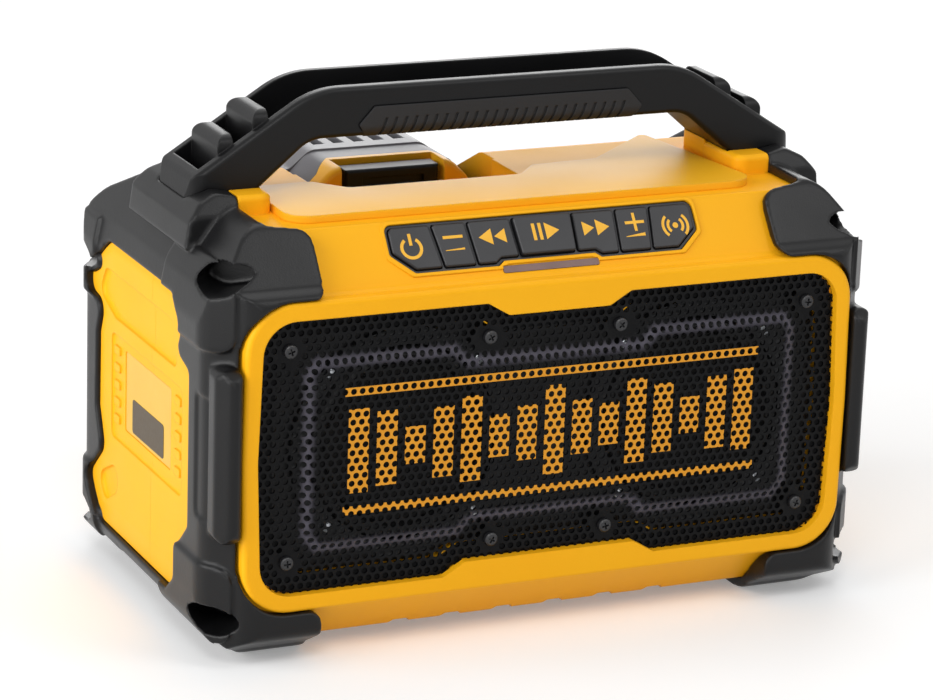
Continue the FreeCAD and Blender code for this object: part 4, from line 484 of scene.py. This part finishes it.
def softened(mesh, rounds):
    """Round a mesh's edges where its first vertex group says so, and thin it out."""
    carrier = bpy.data.objects.new("carrier", mesh)
    bpy.context.scene.collection.objects.link(carrier)
    carrier.vertex_groups.new(name="soft")
    smooth = carrier.modifiers.new("smooth", "SMOOTH")
    smooth.factor = 0.5
    smooth.iterations = rounds
    smooth.vertex_group = "soft"
    painted_gleam = carrier.modifiers.new("painted_gleam", "DECIMATE")
    painted_gleam.ratio = KEPT_SHARE
    graph = bpy.context.evaluated_depsgraph_get()
    result = bpy.data.meshes.new_from_object(carrier.evaluated_get(graph))
    bpy.data.objects.remove(carrier)
    return result


def rubber_end(name):
    """A rubber end with the soft edges of an overmoulding; its eyes keep their crisp rims."""
    sewn = mesh_of(merged_copy(name), name + "_sewn")
    fine = applied(
        sewn, ("REMESH", {"mode": "VOXEL", "voxel_size": CELL * MM, "adaptivity": 0.0}),
    )
    shape = bmesh.new()
    shape.from_mesh(fine)
    weights = shape.verts.layers.deform.verify()
    for vert in shape.verts:
        reach = min((vert.co - eye).length for eye in EYES) / MM
        vert[weights][0] = min(max((reach - EYE_REACH) / EYE_FADE, LEAST_ROUNDING), 1)
    shape.to_mesh(fine)
    shape.free()
    mesh = softened(fine, ROUNDS)
    for polygon in mesh.polygons:
        polygon.use_smooth = True
    add_piece(name + "_rubber", mesh, "case", "bumper_rubber", end_rubber, name)


rubber_end("left_bumper")
rubber_end("right_bumper")


# Grille: a sheet of staggered round holes, pressed forwards in the middle

HOLE_PITCH = 3.3
HOLE_RADIUS = 1.18
ROW_RISE = HOLE_PITCH * math.sqrt(3) / 2
GRILLE_COLUMNS = 74
GRILLE_ROWS = 36
GRILLE_MIDDLE = 78.5
SHEET_BACK = -75.05
SHEET_THICKNESS = 0.8
# The raised middle stands this far out, over a slant this wide
RAISE = 2.0
SLANT_WIDTH = 6.0
# Round each screw the sheet has no holes, and sinks into a dimple
SCREW_BLANK = 5.4
DIMPLE_REACH = 6.4
DIMPLE_SLANT = 1.8
DIMPLE_DEPTH = 0.5
# Holes whose middle lies further out than this are left off
EDGE_SLACK = -1.2
GRILLE_SCREWS = [
    (side * x, z)
    for x, z in ((102.9, 117.9), (102.9, 39.1), (26.0, 116.1), (23.0, 39.1))
    for side in (-1, 1)
]


def mirrored(points):
    return points + [(-x, z) for x, z in reversed(points)]


MOUTH = mirrored([
    (34, 32.5), (42.5, 27.5), (101, 27.5), (107.5, 29.2), (112, 33.7), (113.8, 40),
    (115.5, 78.5), (113.8, 117), (112, 123.3), (107.5, 127.8), (101, 129.5),
    (28.5, 129.5), (20, 124.5),
])
RAISED = mirrored([
    (31, 46), (36, 41), (93, 41), (99, 48), (99, 110), (94, 116), (39, 116), (34, 111),
])


def distances(points, outline):
    """How far points lie inside a closed outline; negative outside."""
    points = np.array(points, float)
    corners = np.array(outline, float)
    nearest = np.full(len(points), 1e9)
    inside = np.zeros(len(points), bool)
    for start, end in zip(corners, np.roll(corners, -1, 0)):
        along = end - start
        share = np.clip((points - start) @ along / (along @ along), 0, 1)
        foot = start + share[:, None] * along
        nearest = np.minimum(nearest, np.hypot(*(points - foot).T))
        crosses = (start[1] > points[:, 1]) != (end[1] > points[:, 1])
        rise = end[1] - start[1] if end[1] != start[1] else 1e-9
        cut = start[0] + (points[:, 1] - start[1]) / rise * (end[0] - start[0])
        inside ^= crosses & (points[:, 0] < cut)
    return np.where(inside, nearest, -nearest)


def hole_centre(x, z):
    """The middle of the hexagon of the pattern that holds a point."""
    near = round((z - GRILLE_MIDDLE) / ROW_RISE)
    found = []
    for row in (near - 1, near, near + 1):
        shift = 0.5 * (row % 2)
        column = round(x / HOLE_PITCH - shift) + shift
        found.append((column * HOLE_PITCH, GRILLE_MIDDLE + row * ROW_RISE))
    return min(found, key=lambda spot: math.hypot(spot[0] - x, spot[1] - z))


def standing(x, z):
    """Lay a shape drawn in plan upright against the grille."""
    return Matrix.Translation((x * MM, -75 * MM, z * MM)) @ Matrix.Rotation(math.pi / 2, 4, "X")


def grille_sheet():
    corner = HOLE_PITCH / math.sqrt(3) * MM
    first = standing(
        -GRILLE_COLUMNS / 2 * HOLE_PITCH, GRILLE_MIDDLE - GRILLE_ROWS / 2 * ROW_RISE,
    )
    tile = bmesh.new()
    bmesh.ops.create_circle(tile, segments=6, radius=corner, matrix=first)
    bmesh.ops.create_circle(tile, segments=12, radius=HOLE_RADIUS * MM, matrix=first)
    bmesh.ops.bridge_loops(tile, edges=tile.edges)
    field = applied(
        mesh_of(tile, "grille_tile"),
        ("ARRAY", {
            "count": 2, "use_relative_offset": False, "use_constant_offset": True,
            "constant_offset_displace": (HOLE_PITCH / 2 * MM, 0, ROW_RISE * MM),
        }),
        ("ARRAY", {
            "count": GRILLE_COLUMNS + 1, "use_relative_offset": False, "use_constant_offset": True,
            "constant_offset_displace": (HOLE_PITCH * MM, 0, 0),
        }),
        ("ARRAY", {
            "count": GRILLE_ROWS // 2 + 1, "use_relative_offset": False, "use_constant_offset": True,
            "constant_offset_displace": (0, 0, 2 * ROW_RISE * MM),
        }),
    )
    sheet = bmesh.new()
    sheet.from_mesh(field)
    wanted = {}
    unwanted = []
    for face in sheet.faces:
        centre = face.calc_center_median() / MM
        spot = hole_centre(centre.x, centre.z)
        key = (round(spot[0], 2), round(spot[1], 2))
        if key not in wanted:
            reach = min(math.hypot(spot[0] - a, spot[1] - b) for a, b in GRILLE_SCREWS)
            if distances([spot], MOUTH)[0] < EDGE_SLACK:
                wanted[key] = "outside"
            elif reach < SCREW_BLANK:
                wanted[key] = "blank"
            else:
                wanted[key] = "hole"
        if wanted[key] != "hole":
            unwanted.append(face)
    bmesh.ops.delete(sheet, geom=unwanted, context="FACES")
    for spot, kind in wanted.items():
        if kind == "blank":
            bmesh.ops.create_circle(
                sheet, cap_ends=True, cap_tris=True, segments=6, radius=corner,
                matrix=standing(*spot),
            )
    bmesh.ops.remove_doubles(sheet, verts=sheet.verts, dist=0.02 * MM)
    spots = [(vert.co.x / MM, vert.co.z / MM) for vert in sheet.verts]
    share = np.clip(distances(spots, RAISED) / SLANT_WIDTH, 0, 1)
    raised = RAISE * share * share * (3 - 2 * share)
    # The slant's share, squared, kept as the mask of the painted highlight on the grille's slant
    pressed = sheet.verts.layers.float.new("pressed")
    for vert, slant in zip(sheet.verts, 4 * share * (1 - share)):
        vert[pressed] = slant ** 2
    for vert, (x, z), rise in zip(sheet.verts, spots, raised):
        reach = min(math.hypot(x - a, z - b) for a, b in GRILLE_SCREWS)
        sunk = min(max((DIMPLE_REACH - reach) / DIMPLE_SLANT, 0), 1)
        vert.co.y = (SHEET_BACK - rise * (1 - sunk) + DIMPLE_DEPTH * sunk) * MM
    bmesh.ops.recalc_face_normals(sheet, faces=sheet.faces)
    if sum(face.normal.y for face in sheet.faces) > 0:
        bmesh.ops.reverse_faces(sheet, faces=sheet.faces)
    bmesh.ops.solidify(sheet, geom=sheet.faces[:], thickness=SHEET_THICKNESS * MM)
    mesh = mesh_of(sheet, "grille_sheet", smooth=False)
    add_piece("grille_sheet", mesh, "case", "grille_steel", grille_steel, "grille")


grille_sheet()


# A screw head, in millimetres: half the length and half the width of its cross, how deep the
# cross goes, and the radii and heights of the rim from the top down
CROSS_REACH = 1.35
CROSS_HALF_WIDTH = 0.34
CROSS_DEPTH = 1.0
HEAD_TOP = 1.45
HEAD_RINGS = ((2.45, 0.95), (2.6, 0.4), (2.6, -0.6))


def cross_screws():
    """Pan heads with a cross recess, in the dimples of the grille."""
    heads = bmesh.new()
    for x, z in GRILLE_SCREWS:
        head = bmesh.new()
        bmesh.ops.create_grid(head, x_segments=3, y_segments=3, size=CROSS_REACH * MM)
        corners = [
            face for face in head.faces
            if min(abs(face.calc_center_median().x), abs(face.calc_center_median().y)) > 0.5 * MM
        ]
        bmesh.ops.delete(head, geom=corners, context="FACES")
        for vert in head.verts:
            near = [abs(vert.co.x), abs(vert.co.y)]
            if min(near) < 0.6 * MM:
                if near[0] < near[1]:
                    vert.co.x *= 0.75
                else:
                    vert.co.y *= 0.75
            if max(near) < 0.6 * MM:
                vert.co.x = math.copysign(CROSS_HALF_WIDTH * MM, vert.co.x)
                vert.co.y = math.copysign(CROSS_HALF_WIDTH * MM, vert.co.y)
        bmesh.ops.translate(head, verts=head.verts, vec=(0, 0, HEAD_TOP * MM))
        cross = head.faces[:]
        rim = [edge for edge in head.edges if edge.is_boundary]
        ring = bmesh.ops.create_circle(
            head, segments=24, radius=2.0 * MM, matrix=Matrix.Translation((0, 0, 1.3 * MM)),
        )["verts"]
        ring_edges = list({edge for vert in ring for edge in vert.link_edges})
        bmesh.ops.bridge_loops(head, edges=rim + ring_edges)
        for radius, height in HEAD_RINGS:
            outer = [edge for edge in head.edges if edge.is_boundary]
            grown = bmesh.ops.extrude_edge_only(head, edges=outer)["geom"]
            moved = [item for item in grown if isinstance(item, bmesh.types.BMVert)]
            for vert in moved:
                direction = Vector((vert.co.x, vert.co.y, 0)).normalized() * radius * MM
                vert.co = (direction.x, direction.y, height * MM)
        base = [edge for edge in head.edges if edge.is_boundary]
        bmesh.ops.contextual_create(head, geom=base)
        sunk = bmesh.ops.extrude_face_region(head, geom=cross)["geom"]
        floor = [item for item in sunk if isinstance(item, bmesh.types.BMVert)]
        for vert in floor:
            vert.co.x *= 0.7
            vert.co.y *= 0.7
            vert.co.z -= CROSS_DEPTH * MM
        bmesh.ops.delete(head, geom=cross, context="FACES")
        bmesh.ops.rotate(
            head, verts=head.verts, cent=(0, 0, 0), matrix=Matrix.Rotation(x * 0.7 + z, 3, "Z"),
        )
        bmesh.ops.transform(head, verts=head.verts, matrix=standing(x, z))
        single = mesh_of(head, "screw_head", smooth=False)
        heads.from_mesh(single)
    mesh = mesh_of(heads, "grille_screw_heads", smooth=False)
    add_piece("grille_screw_heads", mesh, "case", "black_screw", black_steel, "grille_screws")


cross_screws()


# Foam ring under the grille's border

FOAM_WIDTH = 6.5
FOAM_THICKNESS = 0.16
FOAM_BEHIND_SHEET = 0.9


def grille_foam():
    shape = bmesh.new()
    shape.faces.new([shape.verts.new((x * MM, z * MM, 0)) for x, z in MOUTH])
    shape.normal_update()
    rim = bmesh.ops.inset_region(
        shape, faces=shape.faces[:], thickness=FOAM_WIDTH * MM, use_boundary=True,
    )
    middle = [face for face in shape.faces if face not in rim["faces"]]
    bmesh.ops.delete(shape, geom=middle, context="FACES")
    bmesh.ops.solidify(shape, geom=shape.faces[:], thickness=FOAM_THICKNESS * MM)
    bmesh.ops.transform(shape, verts=shape.verts, matrix=standing(0, 0))
    bmesh.ops.translate(shape, verts=shape.verts, vec=(0, FOAM_BEHIND_SHEET * MM, 0))
    mesh = mesh_of(shape, "grille_foam", smooth=False)
    add_piece("grille_foam", mesh, "case", "cover_rubber", seal_foam)


grille_foam()


# Bare labels in the side panels

def side_plate(name, width, height, corner, y, z, inner, outer, material, side):
    """A thin plate with rounded corners on a side panel, between two distances from the middle."""
    shape = bmesh.new()
    bmesh.ops.create_grid(shape, x_segments=1, y_segments=1, size=0.5)
    bmesh.ops.scale(shape, verts=shape.verts, vec=(width * MM, height * MM, 1))
    bmesh.ops.bevel(
        shape, geom=shape.verts[:], affect="VERTICES", offset=corner * MM, segments=5,
        profile=0.5, material=-1,
    )
    grown = bmesh.ops.extrude_face_region(shape, geom=shape.faces[:])["geom"]
    top = [item for item in grown if isinstance(item, bmesh.types.BMVert)]
    bmesh.ops.translate(shape, verts=top, vec=(0, 0, (outer - inner) * MM))
    turn = Matrix(((0, 0, side, 0), (1, 0, 0, 0), (0, 1, 0, 0), (0, 0, 0, 1)))
    place = Matrix.Translation((side * inner * MM, y * MM, z * MM)) @ turn
    bmesh.ops.transform(shape, verts=shape.verts, matrix=place)
    add_piece(name, mesh_of(shape, name, smooth=False), "case", "case_plastic", material)


# Width, height, corner, y, z, and where the plate starts and ends, from the middle outwards
LABEL = (48.4, 30.4, 1.0, 0, 76, 127.95, 128.15)
LABEL_STRIP = (33.5, 13.0, 1.4, 0.3, 68.5, 128.15, 128.3)

for side, end in ((-1, "left"), (1, "right")):
    side_plate(end + "_label", *LABEL, pale_label, side)
    side_plate(end + "_label_strip", *LABEL_STRIP, dark_label, side)


# Icons on the keys

def on_slope(u, v, lift):
    """From a plan drawing in millimetres to the control slope."""
    turn = Matrix((
        (1, 0, 0, 0),
        (0, SLOPE_UP.y, SLOPE_OUT.y, 0),
        (0, SLOPE_UP.z, SLOPE_OUT.z, 0),
        (0, 0, 0, 1),
    ))
    spot = SLOPE_FOOT + Vector((u, 0, 0)) * MM + SLOPE_UP * v * MM + SLOPE_OUT * lift * MM
    return Matrix.Translation(spot) @ turn @ Matrix.Scale(MM, 4)


def add_polygon(shape, points):
    """A flat figure through these points."""
    return shape.faces.new([shape.verts.new((u, v, 0)) for u, v in points])


def add_bar(shape, u, v, width, height, lean=0.0):
    add_polygon(shape, [
        (u - width / 2 - lean, v - height / 2), (u + width / 2 - lean, v - height / 2),
        (u + width / 2 + lean, v + height / 2), (u - width / 2 + lean, v + height / 2),
    ])


def add_triangle(shape, u, v, width, height):
    """A triangle that points right, or left where its width is negative."""
    add_polygon(shape, [(u, v - height / 2), (u + width, v), (u, v + height / 2)])


def add_arc(shape, u, v, radius, width, start, end):
    """Part of a ring, from one angle to another in degrees."""
    inner = shape.verts.new((u + radius - width / 2, v, 0))
    outer = shape.verts.new((u + radius + width / 2, v, 0))
    edge = shape.edges.new((inner, outer))
    centre = Vector((u, v, 0))
    bmesh.ops.rotate(
        shape, verts=[inner, outer], cent=centre,
        matrix=Matrix.Rotation(math.radians(start), 3, "Z"),
    )
    bmesh.ops.spin(
        shape, geom=[inner, outer, edge], cent=centre, axis=(0, 0, 1),
        angle=math.radians(end - start), steps=20, use_duplicate=False,
    )


def power_icon(shape):
    add_arc(shape, 0, 0, 3.0, 0.95, 125, 415)
    add_bar(shape, 0, 2.6, 0.95, 3.6)


def minus_icon(shape):
    add_bar(shape, 0, 1.7, 6.2, 0.9)
    add_polygon(shape, [(-3.0, -2.4), (3.0, -2.4), (3.0, -1.8), (-3.0, -2.2)])


def rewind_icon(shape):
    add_triangle(shape, -0.3, 0, -4.2, 5.0)
    add_triangle(shape, 4.0, 0, -3.6, 4.4)


def play_icon(shape):
    add_bar(shape, -3.6, 0, 1.0, 5.2)
    add_bar(shape, -1.6, 0, 1.0, 5.2)
    add_triangle(shape, 0.0, 0, 4.4, 5.2)


def forward_icon(shape):
    add_triangle(shape, -4.0, 0, 3.6, 4.4)
    add_triangle(shape, 0.3, 0, 4.2, 5.0)


def plus_icon(shape):
    add_bar(shape, 0.4, 1.4, 6.2, 0.9)
    add_bar(shape, 0.4, 3.1, 0.9, 2.5)
    add_bar(shape, 0.4, -0.2, 0.9, 2.3)
    add_polygon(shape, [(-3.2, -3.0), (3.0, -3.0), (3.0, -2.0), (-3.2, -2.8)])


def signal_icon(shape):
    bmesh.ops.create_circle(shape, cap_ends=True, segments=16, radius=0.9)
    for radius in (2.4, 4.0):
        add_arc(shape, 0, 0, radius, 0.85, -48, 48)
        add_arc(shape, 0, 0, radius, 0.85, 132, 228)


# Each key's drawing, the middle of the key on the slope, and how far its face stands out
ICONS = {
    "power_key": (power_icon, -52.6, 13.2, 0.9),
    "volume_down_key": (minus_icon, -36.0, 14.0, 0.9),
    "rewind_key": (rewind_icon, -20.4, 15.0, 0.9),
    "play_key": (play_icon, 0.0, 15.0, 1.9),
    "forward_key": (forward_icon, 20.4, 15.0, 0.9),
    "volume_up_key": (plus_icon, 36.0, 14.0, 0.9),
    "wireless_key": (signal_icon, 52.6, 13.2, 0.9),
}
ICON_SCALE = 1.25
ICON_THICKNESS = 0.16


def key_icons():
    for key, (draw, u, v, rise) in ICONS.items():
        shape = bmesh.new()
        draw(shape)
        bmesh.ops.scale(shape, verts=shape.verts, vec=(ICON_SCALE, ICON_SCALE, 1))
        bmesh.ops.remove_doubles(shape, verts=shape.verts, dist=0.001)
        bmesh.ops.recalc_face_normals(shape, faces=shape.faces)
        grown = bmesh.ops.extrude_face_region(shape, geom=shape.faces[:])["geom"]
        top = [item for item in grown if isinstance(item, bmesh.types.BMVert)]
        bmesh.ops.translate(shape, verts=top, vec=(0, 0, ICON_THICKNESS))
        place = on_slope(u, v, rise - ICON_THICKNESS / 2)
        bmesh.ops.transform(shape, verts=shape.verts, matrix=place)
        mesh = mesh_of(shape, key + "_icon", smooth=False)
        add_piece(key + "_icon", mesh, key, "key_rubber", icon_yellow)


key_icons()


# Studio: a pale floor, soft lamps and the camera

def pale_paint(name, lift):
    """Matt studio paint, shown a little brighter to the camera and to reflections."""
    material = new_material(name)
    paint = add_node(material, "BsdfDiffuse", {"Color": linear("f2f2f2")})
    glow = add_node(material, "Emission", {"Color": linear("ffffff"), "Strength": lift})
    light = add_node(material, "LightPath")
    seen = add_node(
        material, "Math",
        {0: light.outputs["Is Camera Ray"], 1: light.outputs["Is Glossy Ray"]}, operation="MAXIMUM",
    )
    seen = add_node(
        material, "Math",
        {0: seen.outputs[0], 1: light.outputs["Is Transmission Ray"]}, operation="MAXIMUM",
    )
    dark = add_node(material, "Emission", {"Strength": 0.0})
    shown = add_node(material, "MixShader", {
        "Fac": seen.outputs[0], 1: dark.outputs[0], 2: glow.outputs[0],
    })
    both = add_node(material, "AddShader", {0: paint.outputs[0], 1: shown.outputs[0]})
    add_node(material, "OutputMaterial", {"Surface": both.outputs[0]})
    return material


FLOOR_HALF = 6
FLOOR_LIFT = 0.24


def studio_sheet():
    shape = bmesh.new()
    bmesh.ops.create_grid(shape, x_segments=1, y_segments=1, size=FLOOR_HALF)
    floor = mesh_of(shape, "floor", smooth=False)
    piece = bpy.data.objects.new("floor", floor)
    bpy.context.scene.collection.objects.link(piece)
    floor.materials.append(pale_paint("floor_paint", FLOOR_LIFT))


studio_sheet()


def lamp(name, spot, width, level):
    """A soft box that looks at the object; level is its share of white on what faces it."""
    light = bpy.data.lights.new(name, "AREA")
    light.shape = "SQUARE"
    light.size = width
    aim = Vector((0, 0, 0.1)) - Vector(spot)
    light.energy = level * math.pi ** 2 * aim.length_squared
    box = bpy.data.objects.new(name, light)
    box.location = spot
    box.rotation_euler = aim.to_track_quat("-Z", "Y").to_euler()
    bpy.context.scene.collection.objects.link(box)


# Name, place in metres, width in metres and level
lamp("key_box", (-0.7, -1.3, 1.5), 0.65, 0.23)
lamp("front_box", (-0.35, -1.6, 0.42), 0.5, 0.05)
lamp("slope_box", (0.75, -1.0, 1.5), 0.65, 0.14)
lamp("top_box", (0.2, 0.5, 1.6), 1.1, 0.22)
lamp("left_box", (-1.8, -0.2, 0.65), 1.5, 0.88)
lamp("right_box", (1.6, -1.0, 0.7), 0.9, 0.08)
lamp("back_box", (0.75, 1.6, 0.72), 1.2, 0.30)


WORLD_SOFT = 0.2
# How much of the bright backdrop shows in reflections
MIRRORED_SHARE = 0.9


def studio_world():
    """White to the camera, nearly so in reflections, and soft as a source of light."""
    world = bpy.data.worlds.new("studio")
    bpy.context.scene.world = world
    world.use_nodes = True
    world.node_tree.nodes.clear()
    soft = add_node(world, "Background", {"Color": linear("ffffff"), "Strength": WORLD_SOFT})
    bright = add_node(world, "Background", {"Color": linear("ffffff"), "Strength": 1.0})
    light = add_node(world, "LightPath")
    in_gloss = add_node(
        world, "Math", {0: light.outputs["Is Glossy Ray"], 1: MIRRORED_SHARE},
        operation="MULTIPLY",
    )
    share = add_node(
        world, "Math", {0: light.outputs["Is Camera Ray"], 1: in_gloss.outputs[0]},
        operation="MAXIMUM",
    )
    mix = add_node(world, "MixShader", {
        "Fac": share.outputs[0], 1: soft.outputs[0], 2: bright.outputs[0],
    })
    add_node(world, "OutputWorld", {"Surface": mix.outputs[0]})


studio_world()


CAMERA_SPOT = (-0.5885, -1.2741, 0.5153)
CAMERA_TURN = 24.77
CAMERA_DIP = 16.98
CAMERA_ROLL = 1.98
SENSOR_MM = 36
LENS_MM = 149.244


def aim_camera():
    """Left of the grille and a little above the handle, with a slight roll."""
    turn, dip, roll = (math.radians(angle) for angle in (CAMERA_TURN, CAMERA_DIP, CAMERA_ROLL))
    ahead = Vector((
        math.sin(turn) * math.cos(dip), math.cos(turn) * math.cos(dip), -math.sin(dip),
    ))
    right = Vector((math.cos(turn), -math.sin(turn), 0))
    down = ahead.cross(right)
    across = right * math.cos(roll) - down * math.sin(roll)
    below = right * math.sin(roll) + down * math.cos(roll)
    axes = Matrix((across, -below, -ahead)).transposed()
    lens = bpy.data.cameras.new("camera")
    lens.sensor_width = SENSOR_MM
    lens.lens = LENS_MM
    lens.clip_start = 0.05
    lens.clip_end = 30
    camera = bpy.data.objects.new("camera", lens)
    camera.matrix_world = Matrix.Translation(CAMERA_SPOT) @ axes.to_4x4()
    bpy.context.scene.collection.objects.link(camera)
    bpy.context.scene.camera = camera


aim_camera()
bpy.context.scene.view_settings.view_transform = "Standard"
